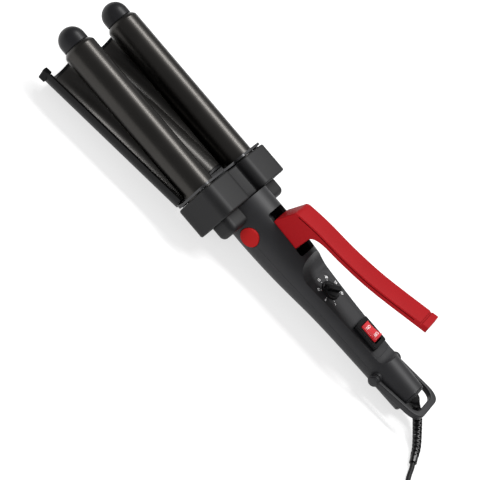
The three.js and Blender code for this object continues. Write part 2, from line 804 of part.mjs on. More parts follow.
// The ribbed sleeve leaves the tail under the loop's bar and swings right, down to the table
const sleeveFace = handleBack + gap + capFlange;
const sleeveCurve = new THREE.CatmullRomCurve3([
  new THREE.Vector3(sleeveFace + sleeveReach - 21, 0, -1.3),
  new THREE.Vector3(sleeveFace + sleeveReach - 16, -sleeveSwing + 25, -3),
  new THREE.Vector3(sleeveFace + sleeveReach - 9, -sleeveSwing + 16, -4.4),
  new THREE.Vector3(sleeveFace + sleeveReach - 3, -sleeveSwing + 7, -5.4),
  new THREE.Vector3(sleeveFace + sleeveReach, -sleeveSwing, -6.1),
]);
const sleeveAim = sleeveCurve.getTangent(1);
const sleeveEnd = sleeveCurve.getPoint(1).addScaledVector(sleeveAim, 2 * sleeveEndRadius);

function cordSleeve() {
  const inside = handleBack - capPlug;
  const points = [
    [inside - 2.6, 6.5], [inside - 0.1, 6.5], [inside, sleeveNeck], [sleeveFace + 0.3, sleeveNeck],
    [sleeveFace + 0.4, 6.4], [sleeveFace + 3, 5.6], [sleeveFace + 5.5, 3.8],
  ];
  const path = points.map(([x]) => new THREE.Vector3(x, 0, x > sleeveFace + 4 ? -0.5 : 0));
  const radii = points.map(([, r]) => r);
  const steps = sleeveRibs * 2;
  sleeveCurve.getSpacedPoints(steps).forEach((p, i) => {
    path.push(p);
    const rib = sleeveRadius + ((sleeveEndRadius - sleeveRadius) * i) / steps;
    radii.push(i % 2 === 0 ? rib : rib - 0.5);
  });
  path.push(sleeveEnd);
  radii.push(sleeveEndRadius);
  return tubeThrough(path, radii, 10);
}

// The coil's loops spiral in and out again, and climb a layer in the half turn of each reversal
const coilBase = cordDiameter / 2 + tieThickness + gap;
const coilOuter = coilInner + coilTurns * coilPitch;
const coilTop = coilBase + (coilLayers - 1) * coilPitch;

function coilPoint(turn) {
  const layer = Math.min(Math.floor(turn / coilTurns), coilLayers - 1);
  const inLayer = turn / coilTurns - layer;
  const share = layer % 2 === 0 ? inLayer : 1 - inLayer;
  const radius = coilOuter - share * coilTurns * coilPitch;
  const nearest = Math.round(turn / coilTurns);
  const past = turn - nearest * coilTurns;
  let height = layer;
  if (nearest > 0 && nearest < coilLayers && Math.abs(past) < 0.25) height = nearest - 0.5 + 2 * past;
  const angle = 2 * Math.PI * (turn - 0.25);
  const x = coilX + radius * Math.cos(angle);
  const y = coilY + radius * Math.sin(angle);
  return new THREE.Vector3(x, y, coilBase + height * coilPitch);
}

const coilTurnSteps = 24;
const coilCount = coilLayers * coilTurns * coilTurnSteps;

function coilPath() {
  const points = [];
  for (let i = 0; i <= coilCount; i += 1) points.push(coilPoint(i / coilTurnSteps));
  const first = points[0].clone().sub(points[1]).setLength(cordDiameter);
  const last = points[coilCount].clone().sub(points[coilCount - 1]).setLength(cordDiameter);
  points.unshift(points[0].clone().add(first));
  points.push(points[points.length - 1].clone().add(last));
  return points;
}

// The least gap between loops, measured between points at least half a turn apart
function leastCoilGap(points) {
  let least = Infinity;
  for (let i = 0; i < points.length; i += 1) {
    for (let k = i + coilTurnSteps / 2; k < points.length; k += 1) {
      least = Math.min(least, points[i].distanceTo(points[k]) - cordDiameter);
    }
  }
  return least;
}

function cordTube(points, sides) {
  return tubeThrough(points, points.map(() => cordDiameter / 2), sides);
}

// A free stretch between two ends, straight for one diameter at each, with points between them
function freeStretch(start, startAim, end, endAim, between, steps) {
  const first = start.clone().addScaledVector(startAim, cordDiameter);
  const last = end.clone().addScaledVector(endAim, -cordDiameter);
  const curve = new THREE.CatmullRomCurve3([first, ...between, last], false, 'catmullrom');
  return [start, ...curve.getSpacedPoints(steps), end];
}

function coilTie() {
  const inner = coilInner - cordDiameter / 2 - gap;
  const outer = coilOuter + cordDiameter / 2 + gap;
  const low = coilBase - cordDiameter / 2 - gap;
  const high = coilTop + cordDiameter / 2 + gap;
  const band = tieThickness;
  const ring = box([-outer - band, -inner + band], [-tieWidth / 2, tieWidth / 2], [low - band, high + band]);
  const room = box([-outer, -inner], [-tieWidth, tieWidth], [low, high]);
  return ring.subtract(room).translate([coilX, coilY, 0]);
}

function plugBody() {
  const shell = roundedBox(0, 0, plugWidth / 2, plugDepth / 2, 3);
  const body = alongX(shell, 0, plugLength, 1.2);
  const relief = revolved([
    [1, 0], [1, 5], [-5, 4], [-reliefLength, 2.6], [-reliefLength, 0],
  ], 'x', 16);
  let made = body.add(relief);
  for (const side of [-1, 1]) {
    const middleY = (side * bladeSpacing) / 2;
    const halfSlot = bladeThickness / 2 + gap;
    const slot = box([plugLength - bladeRoot - gap, plugLength + 1], [middleY - halfSlot, middleY + halfSlot],
      [-bladeWidth / 2 - gap, bladeWidth / 2 + gap]);
    made = made.subtract(slot);
  }
  return made.translate([plugX, plugY, plugDepth / 2]);
}

function plugBlade(side) {
  const end = plugLength + bladeLength;
  const outline = new THREE.Shape();
  const half = bladeWidth / 2;
  outline.moveTo(plugLength - bladeRoot, -half);
  outline.lineTo(end - 1.5, -half);
  outline.lineTo(end, -half + 1.5);
  outline.lineTo(end, half - 1.5);
  outline.lineTo(end - 1.5, half);
  outline.lineTo(plugLength - bladeRoot, half);
  outline.closePath();
  const hole = rod('y', 1.6, -bladeThickness, bladeThickness, 12).translate([end - 4, 0, 0]);
  return alongY(outline, bladeThickness / 2).subtract(hole)
    .translate([plugX, plugY + (side * bladeSpacing) / 2, plugDepth / 2]);
}

function hangingLoop() {
  const outer = new THREE.Shape();
  outer.moveTo(0, -loopHalfWidth);
  outer.lineTo(loopReach - loopCorner, -loopHalfWidth + loopTaper);
  outer.quadraticCurveTo(loopReach, -loopHalfWidth + 2, loopReach, -loopHalfWidth + loopCorner);
  outer.lineTo(loopReach, loopHalfWidth - loopCorner);
  outer.quadraticCurveTo(loopReach, loopHalfWidth - 2, loopReach - loopCorner, loopHalfWidth - loopTaper);
  outer.lineTo(0, loopHalfWidth);
  outer.lineTo(0, loopHalfWidth - loopBand);
  const back = loopReach - loopBar;
  const inside = loopHalfWidth - loopBand;
  outer.lineTo(back - loopCorner + 2, inside - loopTaper);
  outer.quadraticCurveTo(back, inside - 2, back, inside - loopCorner + 2);
  outer.lineTo(back, -inside + loopCorner - 2);
  outer.quadraticCurveTo(back, -inside + 2, back - loopCorner + 2, -inside + loopTaper);
  outer.lineTo(0, -loopHalfWidth + loopBand);
  outer.closePath();
  let made = alongZ(outer, -loopHeight / 2, loopHeight / 2, 0.6);
  for (const side of [-1, 1]) {
    const low = Math.min(side * loopHalfWidth, side * (loopHalfWidth - loopBand));
    const eye = rod('y', loopEye, low, low + loopBand, 24);
    made = made.add(eye);
  }
  return made.subtract(rod('y', rivetRadius + gap, -loopHalfWidth - 1, loopHalfWidth + 1, 16));
}

function loopRivet(side) {
  const deep = loopHalfWidth - loopBand - 4;
  const face = loopHalfWidth + gap;
  return revolved([
    [side * deep, 0], [side * deep, rivetRadius], [side * face, rivetRadius], [side * face, loopEye - 0.6],
    [side * (face + 0.7), loopEye - 1], [side * (face + 1.3), 1.6], [side * (face + 1.4), 0],
  ], 'y', 16).translate([loopPivotX, 0, 0]);
}

function handleScrew(place) {
  const headFace = -gripDepth(place) + 3 - gap;
  return revolved([
    [headFace - 1.6, 0], [headFace - 1.6, 2.2], [headFace - 1, 2.8], [headFace, 2.8],
    [headFace, 1.5], [2.5, 1.5], [2.5, 0],
  ], 'z', 16).translate([place, 0, 0]);
}

// Assembly in the tool's own frame
const tool = new THREE.Group();
const clamp = new THREE.Group();
clamp.rotation.y = radians(-openAngle);
tool.add(clamp);

for (const [side, word] of [[1, 'left'], [-1, 'right']]) {
  add(tool, `barrel_${word}`, barrel(side), satin);
  add(tool, `barrel_tip_${word}`, barrelTip(side), black);
  add(tool, `barrel_heater_${word}`, heaterCore(side), aluminium);
  add(tool, `hinge_cap_${word}`, pinCap(side), red);
  add(tool, `loop_rivet_${word}`, loopRivet(side), black);
}
add(tool, 'head_collar', headCollar(), black);
add(tool, 'heat_shield', heatShield(), steel);

const handle = handleBody();
const reachX = [collarBack - 5, handleBack + 5];
const reachY = [-neckRadius - 5, neckRadius + 5];
add(tool, 'handle_upper_shell', handle.intersect(box(reachX, reachY, [gap / 2, neckRadius + 5])), black);
add(tool, 'handle_lower_shell', handle.intersect(box(reachX, reachY, [-neckRadius - 5, -gap / 2])), black);
add(tool, 'control_panel', controlPanel(), black);
add(tool, 'control_board', controlBoard(), board);
add(tool, 'dial_potentiometer', dialPot(), steel);
const dial = new THREE.Group();
dial.position.set(dialX, 0, 0);
dial.rotation.z = radians(dialTurn);
tool.add(dial);
add(dial, 'temperature_dial', dialKnob(), black);
add(tool, 'switch_housing', switchHousing(), black);
const rocker = new THREE.Group();
rocker.position.set(switchX, 0, rockerPivotZ);
rocker.rotation.y = radians(-rockerThrow / 2);
tool.add(rocker);
add(rocker, 'power_rocker', rockerCap(), red);
add(tool, 'hinge_pin', hingePin(), steel);
add(tool, 'clamp_spring', clampSpring(), steel);
add(tool, 'tail_cap', tailCap(), black);
add(tool, 'cord_sleeve', cordSleeve(), rubber);
add(tool, 'handle_screw_front', handleScrew(screwPlaces[0]), steel);
add(tool, 'handle_screw_rear', handleScrew(screwPlaces[1]), steel);
const loop = new THREE.Group();
loop.position.set(loopPivotX, 0, 0);
loop.rotation.y = radians(-loopTilt);
tool.add(loop);
add(loop, 'hanging_loop', hangingLoop(), black);

// The tool lies on the clamp's foot and the tail's lower edge, so its axis dips towards the tail
const footMiddle = new THREE.Vector3(clampTip + 1 + footLength / 2, 0, -clampOuter - gap - footDepth);
const footAt = footMiddle.clone().applyEuler(clamp.rotation);
const dip = Math.atan2(footAt.z * -1 - tailRadius, handleBack - footAt.x);
const dipDegrees = (dip * 180) / Math.PI;

add(clamp, 'lever', lever(), red);
add(clamp, 'clamp_arm', clampArm(), black);
add(clamp, 'clamp_housing', clampHousing(), black);
add(clamp, 'wave_plate', wavePlate(), satin);
add(clamp, 'ridge_heater', ridgeHeater(), aluminium);
add(clamp, 'clamp_foot', clampFoot(openAngle - dipDegrees), rubber);

tool.rotation.y = dip;
tool.updateMatrixWorld(true);
const extent = new THREE.Box3().setFromObject(tool, true);
const middle = extent.getCenter(new THREE.Vector3());
tool.position.set(-middle.x, -middle.y, -extent.min.z);

tool.updateMatrixWorld(true);

const waver = new THREE.Group();
waver.add(tool);

// The cord runs from the sleeve over the table to the coil, and from the coil's top to the plug
const exitAim = sleeveAim.clone().transformDirection(tool.matrixWorld);
const exit = tool.localToWorld(sleeveEnd.clone()).addScaledVector(exitAim, gap);
const loops = coilPath();
const coilIn = loops[1].clone().sub(loops[0]).normalize();
const coilOut = loops[loops.length - 1].clone().sub(loops[loops.length - 2]).normalize();
const coilStart = loops[0].clone().addScaledVector(coilIn, -gap);
const coilEnd = loops[loops.length - 1].clone().addScaledVector(coilOut, gap);
const plugBack = new THREE.Vector3(plugX - reliefLength - gap, plugY, plugDepth / 2);
const cordRun = freeStretch(exit, exitAim, coilStart, coilIn, [
  new THREE.Vector3(185.2, -47.5, 1.8),
  new THREE.Vector3(192.5, -57.3, 1.8),
  new THREE.Vector3(204.2, -61, 1.9),
  new THREE.Vector3(226, -61, 2.3),
], 10);
const plugRun = freeStretch(coilEnd, coilOut, plugBack, unitX, [
  new THREE.Vector3(264, -60, 12.9),
  new THREE.Vector3(277, -55.5, 8.6),
], 7);
console.log(`least gap between the coil's loops ${leastCoilGap(loops).toFixed(2)} mm`);
add(waver, 'cord', cordTube(cordRun, 8), rubber);
add(waver, 'cord_coil', cordTube(loops, 6), rubber);
add(waver, 'cord_to_plug', cordTube(plugRun, 8), rubber);
add(waver, 'coil_tie', coilTie(), rubber);
add(waver, 'plug_body', plugBody(), rubber);
add(waver, 'plug_blade_left', plugBlade(1), brass);
add(waver, 'plug_blade_right', plugBlade(-1), brass);

export default waver;
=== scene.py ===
"""Finished look of a two-barrel hair waver with its cord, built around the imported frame.

The tool's own frame is in millimetres. Its origin is the hinge pin, x runs to the cord, y to
the left barrel and z to the lever's side. Lay takes it to the row frame, in metres.
"""

import logging
import math
from dataclasses import dataclass
from enum import Enum
from typing import Callable, Iterable, Sequence

import bmesh
import bpy
from mathutils import Matrix, Vector


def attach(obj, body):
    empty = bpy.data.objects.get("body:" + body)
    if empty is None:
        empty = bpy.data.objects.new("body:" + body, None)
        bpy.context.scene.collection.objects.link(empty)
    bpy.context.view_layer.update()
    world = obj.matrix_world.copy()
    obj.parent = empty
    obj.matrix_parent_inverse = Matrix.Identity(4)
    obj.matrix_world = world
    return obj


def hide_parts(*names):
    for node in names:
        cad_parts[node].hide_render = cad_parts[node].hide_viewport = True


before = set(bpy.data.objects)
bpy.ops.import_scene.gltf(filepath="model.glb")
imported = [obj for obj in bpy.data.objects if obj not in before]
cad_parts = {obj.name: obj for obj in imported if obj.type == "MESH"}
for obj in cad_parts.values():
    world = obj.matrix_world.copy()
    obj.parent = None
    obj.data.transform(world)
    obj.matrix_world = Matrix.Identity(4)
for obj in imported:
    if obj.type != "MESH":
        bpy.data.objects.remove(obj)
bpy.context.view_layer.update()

Point2 = tuple[float, float]
Point3 = tuple[float, float, float]
Object = bpy.types.Object
Material = bpy.types.Material

LOG = logging.getLogger("waver")
MM = 0.001
MERGE = 1e-5  # points of a mesh nearer than this are one
SAME = 1e-4  # points of an outline nearer than this are one
BEYOND = 1.0  # how far a cutter passes the face that it opens


class Body(Enum):
    """Bodies of the frame that pieces ride on."""

    HANDLE = "handle"
    CLAMP = "clamp"
    DIAL = "dial"
    ROCKER = "rocker"
    LOOP = "loop"


class Slot(Enum):
    """Names of material slots."""

    PLASTIC = "black_plastic"
    COATING = "coating"
    STEEL = "steel"
    RED = "red_plastic"
    RUBBER = "black_rubber"


class Op(Enum):
    """What one solid does to another."""

    CUT = "DIFFERENCE"
    JOIN = "UNION"
    KEEP = "INTERSECT"


class Side(Enum):
    """Sides of the tool, as signs of y.

    Cuts and joins take the right side first, because their order shows in the mesh.
    """

    LEFT = 1
    RIGHT = -1

    @property
    def word(self) -> str:
        """Returns the side's name as the nodes carry it."""
        return self.name.lower()


class Axis(Enum):
    """Axes that outlines run along and profiles turn about."""

    X = "X"
    Y = "Y"
    Z = "Z"

    def at(self, along: float, u: float, v: float) -> Point3:
        """Returns the point at a place along this axis, with u and v on the other two."""
        return {Axis.X: (along, u, v), Axis.Y: (u, along, v), Axis.Z: (u, v, along)}[self]


@dataclass(frozen=True)
class Lay:
    """How the tool lies on the table.

    Attributes:
        dip: turn about y at which the tool rests, in radians.
        shift_x: move along x, in millimetres.
        shift_z: height of the hinge pin, in millimetres.
        open_angle: angle of the open clamp, in degrees.
        loop_tilt: angle of the hanging loop at rest, in degrees.
    """

    dip: float = 0.08514963
    shift_x: float = -0.2391
    shift_z: float = 24.9111
    open_angle: float = 7.5
    loop_tilt: float = 8.0

    def tool(self) -> Matrix:
        """Returns the matrix from the tool's frame to the row frame."""
        move = Matrix.Translation(Vector((self.shift_x, 0, self.shift_z)) * MM)
        return move @ Matrix.Rotation(self.dip, 4, "Y") @ Matrix.Scale(MM, 4)

    def clamp(self) -> Matrix:
        """Returns the matrix from the closed clamp's frame to the row frame."""
        return self.tool() @ Matrix.Rotation(-math.radians(self.open_angle), 4, "Y")

    def turned(self, place: Point3, degrees: float = 0.0, axis: Axis = Axis.Z) -> Matrix:
        """Returns the matrix of a frame put at a place in the tool, turned about one axis."""
        spin = Matrix.Rotation(math.radians(degrees), 4, axis.value)
        return self.tool() @ Matrix.Translation(Vector(place)) @ spin


@dataclass(frozen=True)
class Panel:
    """Plan of the control panel, which the plate and its seat in the grip share."""

    centre: float = 82.5
    half_length: float = 33.5
    half_width: float = 8.7
    corner: float = 4.0

    def outline(self, fit: float = 0.0) -> list[Point2]:
        """Returns the plan, larger all round by a fit."""
        x, y, corner = self.half_length + fit, self.half_width + fit, self.corner + fit
        return rounded(self.centre, 0, x, y, corner)


LAY = Lay()
PANEL = Panel()


# Materials


def maths(
    tree: bpy.types.NodeTree, operation: str, *values: bpy.types.NodeSocket | float
) -> bpy.types.NodeSocket:
    """Adds a maths node to a tree.

    Args:
        tree: the tree.
        operation: what the node does, in Blender's word.
        values: numbers to set, or sockets to link.

    Returns:
        The socket that holds the result.
    """
    node = tree.nodes.new("ShaderNodeMath")
    node.operation = operation
    for socket, value in zip(node.inputs, values):
        if isinstance(value, bpy.types.NodeSocket):
            tree.links.new(value, socket)
        else:
            socket.default_value = value
    return node.outputs[0]


def make_grain_group() -> bpy.types.NodeTree:
    """Makes the moulded grain: a bump normal, and a roughness that varies with soft smudges.

    Returns:
        The shader group, with plain values in and a normal, a roughness and a shade out.
    """
    tree = bpy.data.node_groups.new("MouldedGrain", "ShaderNodeTree")
    for label, default in (("Scale", 900.0), ("Depth", 0.1), ("Roughness", 0.5), ("Smudge", 0.06)):
        socket = tree.interface.new_socket(label, in_out="INPUT", socket_type="NodeSocketFloat")
        socket.default_value = default
    for label, kind in (("Normal", "Vector"), ("Roughness", "Float"), ("Shade", "Float")):
        tree.interface.new_socket(label, in_out="OUTPUT", socket_type=f"NodeSocket{kind}")
    new, link = tree.nodes.new, tree.links.new
    given, out, place = new("NodeGroupInput"), new("NodeGroupOutput"), new("ShaderNodeTexCoord")
    grain, soft, bump = new("ShaderNodeTexNoise"), new("ShaderNodeTexNoise"), new("ShaderNodeBump")
    grain.inputs["Detail"].default_value = 3.0
    soft.inputs["Scale"].default_value = 38.0
    soft.inputs["Detail"].default_value = 4.0
    bump.inputs["Distance"].default_value = 0.0002
    link(place.outputs["Object"], grain.inputs["Vector"])
    link(place.outputs["Object"], soft.inputs["Vector"])
    link(given.outputs["Scale"], grain.inputs["Scale"])
    link(grain.outputs["Fac"], bump.inputs["Height"])
    link(given.outputs["Depth"], bump.inputs["Strength"])
    above = maths(tree, "SUBTRACT", soft.outputs["Fac"], 0.5)
    change = maths(tree, "MULTIPLY", above, given.outputs["Smudge"])
    link(bump.outputs["Normal"], out.inputs["Normal"])
    link(maths(tree, "ADD", given.outputs["Roughness"], change), out.inputs["Roughness"])
    link(soft.outputs["Fac"], out.inputs["Shade"])
    return tree


GRAIN = make_grain_group()


@dataclass(frozen=True)
class Finish:
    """One surface: colours, gloss and grain of a material.

    Attributes:
        name: material name.
        dark: colour in the hollows of the soft variation.
        light: colour on its heights.
        roughness: mean roughness.
        metallic: metal share.
        grain: grain scale per metre.
        depth: strength of the grain's bump.
        smudge: how far roughness varies.
        coat: clear coat weight.
        coat_roughness: roughness of that coat.
        anisotropy: stretch of the highlight.
        glow: how far light passes under the surface.
        bleed: reach of that light in red, green and blue, in metres.
        specular: level of the mirror-like share.
        shades: places of the two colours on the soft variation.
    """

    name: str
    dark: Point3
    light: Point3
    roughness: float
    metallic: float = 0.0
    grain: float = 900.0
    depth: float = 0.1
    smudge: float = 0.06
    coat: float = 0.0
    coat_roughness: float = 0.25
    anisotropy: float = 0.0
    glow: float = 0.0
    bleed: Point3 = (0.004, 0.001, 0.001)
    specular: float = 0.5
    shades: Point2 = (0.3, 0.7)

    def build(self) -> Material:
        """Makes the node material.

        Returns:
            The material, with plain numbers on the shader's own sockets.
        """
        material = bpy.data.materials.new(self.name)
        material.use_nodes = True
        tree = material.node_tree
        shader = tree.nodes["Principled BSDF"]
        grain, ramp = tree.nodes.new("ShaderNodeGroup"), tree.nodes.new("ShaderNodeValToRGB")
        grain.node_tree = GRAIN
        stops = zip(ramp.color_ramp.elements, self.shades, (self.dark, self.light))
        for stop, position, colour in stops:
            stop.position = position
            stop.color = (*colour, 1.0)
        tree.links.new(grain.outputs["Shade"], ramp.inputs["Fac"])
        tree.links.new(ramp.outputs["Color"], shader.inputs["Base Color"])
        tree.links.new(grain.outputs["Roughness"], shader.inputs["Roughness"])
        tree.links.new(grain.outputs["Normal"], shader.inputs["Normal"])
        for node, values in (
            (grain, {"Scale": self.grain, "Depth": self.depth, "Roughness": self.roughness,
                     "Smudge": self.smudge}),
            (shader, {"Metallic": self.metallic, "Specular IOR Level": self.specular,
                      "Coat Weight": self.coat, "Coat Roughness": self.coat_roughness,
                      "Anisotropic": self.anisotropy, "Subsurface Weight": self.glow,
                      "Subsurface Radius": self.bleed, "Subsurface Scale": 1.0}),
        ):
            for label, value in values.items():
                node.inputs[label].default_value = value
        return material


class Palette:
    """Every material of the tool and its floor, made once."""

    def __init__(self) -> None:
        """Makes the materials from their finishes."""
        self.plastic = Finish("MouldedBlack", (0.009, 0.009, 0.01), (0.012, 0.012, 0.0135), 0.5,
                              grain=1500, depth=0.12, specular=0.34).build()
        self.collar = Finish("CollarBlack", (0.0035, 0.0035, 0.0039), (0.005, 0.005, 0.0055), 0.56,
                             grain=1500, depth=0.14, specular=0.34).build()
        self.tip = Finish("TipBlack", (0.006, 0.006, 0.007), (0.009, 0.009, 0.01), 0.42,
                          depth=0.06, specular=0.22).build()
        # DeepBlack is a darker copy of the black plastic, used for the dial, the switch housing and
        # the clamp housing; on the clamp housing, which faces the floor, the extra darkness is
        # painted shade.
        self.deep = Finish("DeepBlack", (0.002, 0.002, 0.0022), (0.0035, 0.0035, 0.004), 0.4,
                           depth=0.05, specular=0.14).build()
        self.coating = Finish("BarrelCoating", (0.043, 0.041, 0.0385), (0.05, 0.0475, 0.045), 0.34,
                              metallic=1.0, grain=2600, depth=0.002, smudge=0.04).build()
        # PlateCoating is a darkened copy of the barrel coating: its darkness is painted shade
        # between and under the barrels.
        self.plate = Finish("PlateCoating", (0.026, 0.025, 0.0235), (0.031, 0.0295, 0.028), 0.3,
                            metallic=0.7, grain=2600, depth=0.002, specular=0.25).build()
        self.shield = Finish("ShieldMetal", (0.05, 0.05, 0.052), (0.065, 0.065, 0.067), 0.38,
                             metallic=0.9, grain=1800, depth=0.05).build()
        self.steel = Finish("PlainSteel", (0.45, 0.45, 0.46), (0.55, 0.55, 0.56), 0.32,
                            metallic=1.0, grain=1400, depth=0.08, anisotropy=0.4).build()
        self.aluminium = Finish("CastAluminium", (0.6, 0.6, 0.61), (0.72, 0.72, 0.73), 0.5,
                                metallic=1.0, grain=700, depth=0.25).build()
        self.red = Finish("RedPlastic", (0.25, 0.006, 0.0085), (0.275, 0.0075, 0.01), 0.5,
                          grain=1700, depth=0.03, glow=0.02, specular=0.06).build()
        self.cap = Finish("RedCap", (0.31, 0.009, 0.009), (0.34, 0.011, 0.0115), 0.5,
                          grain=1700, depth=0.04, glow=0.02, specular=0.08).build()
        self.rocker = Finish("RedRocker", (0.42, 0.014, 0.02), (0.5, 0.018, 0.025), 0.2,
                             grain=1200, depth=0.02, coat=0.3, glow=0.1).build()
        self.rubber = Finish("SoftBlack", (0.003, 0.003, 0.0033), (0.005, 0.005, 0.0054), 0.5,
                             grain=2000, depth=0.12, specular=0.2).build()
        self.sleeve = Finish("SleeveBlack", (0.0015, 0.0015, 0.0017), (0.003, 0.003, 0.0032), 0.3,
                             grain=2000, depth=0.04, specular=0.4).build()
        self.brass = Finish("BladeBrass", (0.62, 0.45, 0.2), (0.72, 0.54, 0.26), 0.28,
                            metallic=1.0, grain=1500, depth=0.06).build()
        self.ink = Finish("WhiteInk", (0.72, 0.72, 0.72), (0.8, 0.8, 0.8), 0.55, depth=0.04).build()
        self.board = Finish("BoardGreen", (0.02, 0.12, 0.04), (0.03, 0.16, 0.06), 0.4,
                            depth=0.05).build()
        self.floor = self._floor()

    @staticmethod
    def _floor(grey: float = 0.45, lift: float = 0.6) -> Material:
        """Makes the pale floor, which keeps the shadow and shows as white between.

        Args:
            grey: colour of the floor.
            lift: glow that the camera, gloss and glass see, and that lights nothing.

        Returns:
            The material.
        """
        material = bpy.data.materials.new("PaleFloor")
        material.use_nodes = True
        tree = material.node_tree
        shader = tree.nodes["Principled BSDF"]
        for label, value in (("Base Color", (grey, grey, grey, 1)), ("Roughness", 0.95),
                             ("Specular IOR Level", 0.0), ("Emission Color", (1, 1, 1, 1))):
            shader.inputs[label].default_value = value
        path = tree.nodes.new("ShaderNodeLightPath").outputs
        seen = maths(tree, "MAXIMUM", path["Is Camera Ray"], path["Is Glossy Ray"])
        seen = maths(tree, "MAXIMUM", seen, path["Is Transmission Ray"])
        tree.links.new(maths(tree, "MULTIPLY", seen, lift), shader.inputs["Emission Strength"])
        return material


# Outlines


def arc(
    cx: float, cy: float, radius: float, start: float, end: float, steps: int,
    tall: float | None = None,
) -> list[Point2]:
    """Finds the points of an arc, or of part of an ellipse.

    Args:
        cx: first coordinate of the centre.
        cy: second coordinate of the centre.
        radius: radius, or the ellipse's reach along the first coordinate.
        start: angle of the first point, in degrees.
        end: angle of the last point, in degrees.
        steps: steps between them.
        tall: the ellipse's reach along the second coordinate.

    Returns:
        The points with both ends.
    """
    found = []
    for i in range(steps + 1):
        a = math.radians(start + (end - start) * i / steps)
        found.append((cx + radius * math.cos(a), cy + (tall or radius) * math.sin(a)))
    return found


def oblong(x0: float, y0: float, x1: float, y1: float) -> list[Point2]:
    """Returns the outline of a rectangle between two corners."""
    return [(x0, y0), (x1, y0), (x1, y1), (x0, y1)]


def rounded(
    cx: float, cy: float, half_x: float, half_y: float, radius: float, steps: int = 8
) -> list[Point2]:
    """Finds the outline of a rectangle with round corners.

    Args:
        cx: first coordinate of its middle.
        cy: second coordinate of its middle.
        half_x: half its size along the first coordinate.
        half_y: half its size along the second.
        radius: radius of the corners.
        steps: steps of each corner.

    Returns:
        The points, anticlockwise.
    """
    found: list[Point2] = []
    for sx, sy, start in ((1, 1, 0), (-1, 1, 90), (-1, -1, 180), (1, -1, 270)):
        x, y = cx + sx * (half_x - radius), cy + sy * (half_y - radius)
        found += arc(x, y, radius, start, start + 90, steps)
    return found


def quadratic(a: Point2, b: Point2, c: Point2, steps: int) -> list[Point2]:
    """Finds the points of a quadratic curve after its first point.

    Args:
        a: first point.
        b: point that the curve bends towards.
        c: last point.
        steps: steps of the curve.

    Returns:
        The points without the first.
    """
    found = []
    for i in range(1, steps + 1):
        t = i / steps
        u, v, w = (1 - t) ** 2, 2 * t * (1 - t), t * t
        found.append(tuple(u * p + v * q + w * r for p, q, r in zip(a, b, c)))
    return found


def catmull(
    points: Sequence[Sequence[float]], per_span: int, reflect: bool = False
) -> list[tuple[float, ...]]:
    """Finds the uniform Catmull-Rom curve through points.

    Args:
        points: control points of any dimension.
        per_span: steps from one control point to the next.
        reflect: whether the ends are mirrored outwards, not repeated.

    Returns:
        The points of the curve with both ends.
    """

    def beyond(end: Sequence[float], inner: Sequence[float]) -> Sequence[float]:
        """Returns the control point that stands past an end of the curve."""
        return [2 * a - b for a, b in zip(end, inner)] if reflect else end

    line = [beyond(points[0], points[1]), *points, beyond(points[-1], points[-2])]
    found = []
    for p0, p1, p2, p3 in zip(line, line[1:], line[2:], line[3:]):
        for i in range(per_span):
            t = i / per_span
            row = []
            for a, b, c, d in zip(p0, p1, p2, p3):
                v0, v1 = (c - a) / 2, (d - b) / 2
                cube, square = 2 * b - 2 * c + v0 + v1, 3 * c - 3 * b - 2 * v0 - v1
                row.append(cube * t**3 + square * t * t + v0 * t + b)
            found.append(tuple(row))
    return [*found, tuple(points[-1])]


def shrunk(outline: Sequence[Point2], amount: float, sharpest: float = 0.3) -> list[Point2]:
    """Moves an outline inwards by mitred offsets.

    Args:
        outline: the points.
        amount: how far each side moves.
        sharpest: limit that keeps the mitres of sharp corners short.

    Returns:
        As many points as were given.
    """
    area = sum(a[0] * b[1] - b[0] * a[1] for a, b in zip(outline, [*outline[1:], outline[0]]))
    turn = 1 if area > 0 else -1
    found = []
    for i, place in enumerate(outline):
        here, before = Vector(place), Vector(outline[i - 1])
        after = Vector(outline[(i + 1) % len(outline)])
        one, two = (here - before).normalized(), (after - here).normalized()
        n1, n2 = Vector((-one.y, one.x)) * turn, Vector((-two.y, two.x)) * turn
        found.append(tuple(here + (n1 + n2) * (amount / max(1 + n1.dot(n2), sharpest))))
    return found


# Meshes


def linked(name: str, data: bpy.types.ID) -> Object:
    """Makes an object for some data and links it to the scene.

    Args:
        name: name of the object.
        data: its mesh, curve, lamp or camera.

    Returns:
        The object.
    """
    made = bpy.data.objects.new(name, data)
    bpy.context.scene.collection.objects.link(made)
    return made


def mesh_object(
    name: str, points: Iterable[Sequence[float]], faces: Iterable[Sequence[int]]
) -> Object:
    """Makes a mesh with doubles merged and its faces pointing out.

    Args:
        name: name of the object.
        points: places of its points.
        faces: numbers of the points round each face.

    Returns:
        The linked object.
    """
    data = bpy.data.meshes.new(name)
    work = bmesh.new()
    verts = [work.verts.new(p) for p in points]
    for face in faces:
        work.faces.new([verts[i] for i in face])
    bmesh.ops.remove_doubles(work, verts=work.verts, dist=MERGE)
    bmesh.ops.recalc_face_normals(work, faces=work.faces)
    work.to_mesh(data)
    work.free()
    return linked(name, data)


def skin(rows: int, sides: int, capped: bool) -> list[tuple[int, ...]]:
    """Finds the faces that join rings of points to the next.

    Args:
        rows: number of rings.
        sides: points of each ring.
        capped: whether the first and the last ring are closed by a face.

    Returns:
        The numbers of the points round each face.
    """
    faces: list[tuple[int, ...]] = []
    for row in range(rows - 1):
        for k in range(sides):
            a, b = row * sides + k, row * sides + (k + 1) % sides
            faces.append((a, b, b + sides, a + sides))
    if capped:
        last = (rows - 1) * sides
        faces += [tuple(range(sides)), tuple(range(last + sides - 1, last - 1, -1))]
    return faces


def lathe(name: str, profile: Sequence[Point2], axis: Axis, sides: int = 96) -> Object:
    """Turns a profile round an axis.

    Args:
        name: name of the object.
        profile: (place on the axis, radius) pairs, which close where the radius is 0.
        axis: the axis.
        sides: sides of the round.

    Returns:
        The solid.
    """
    points = []
    for place, radius in profile:
        for k in range(sides):
            a = 2 * math.pi * k / sides
            points.append(axis.at(place, radius * math.cos(a), radius * math.sin(a)))
    return mesh_object(name, points, skin(len(profile), sides, False))


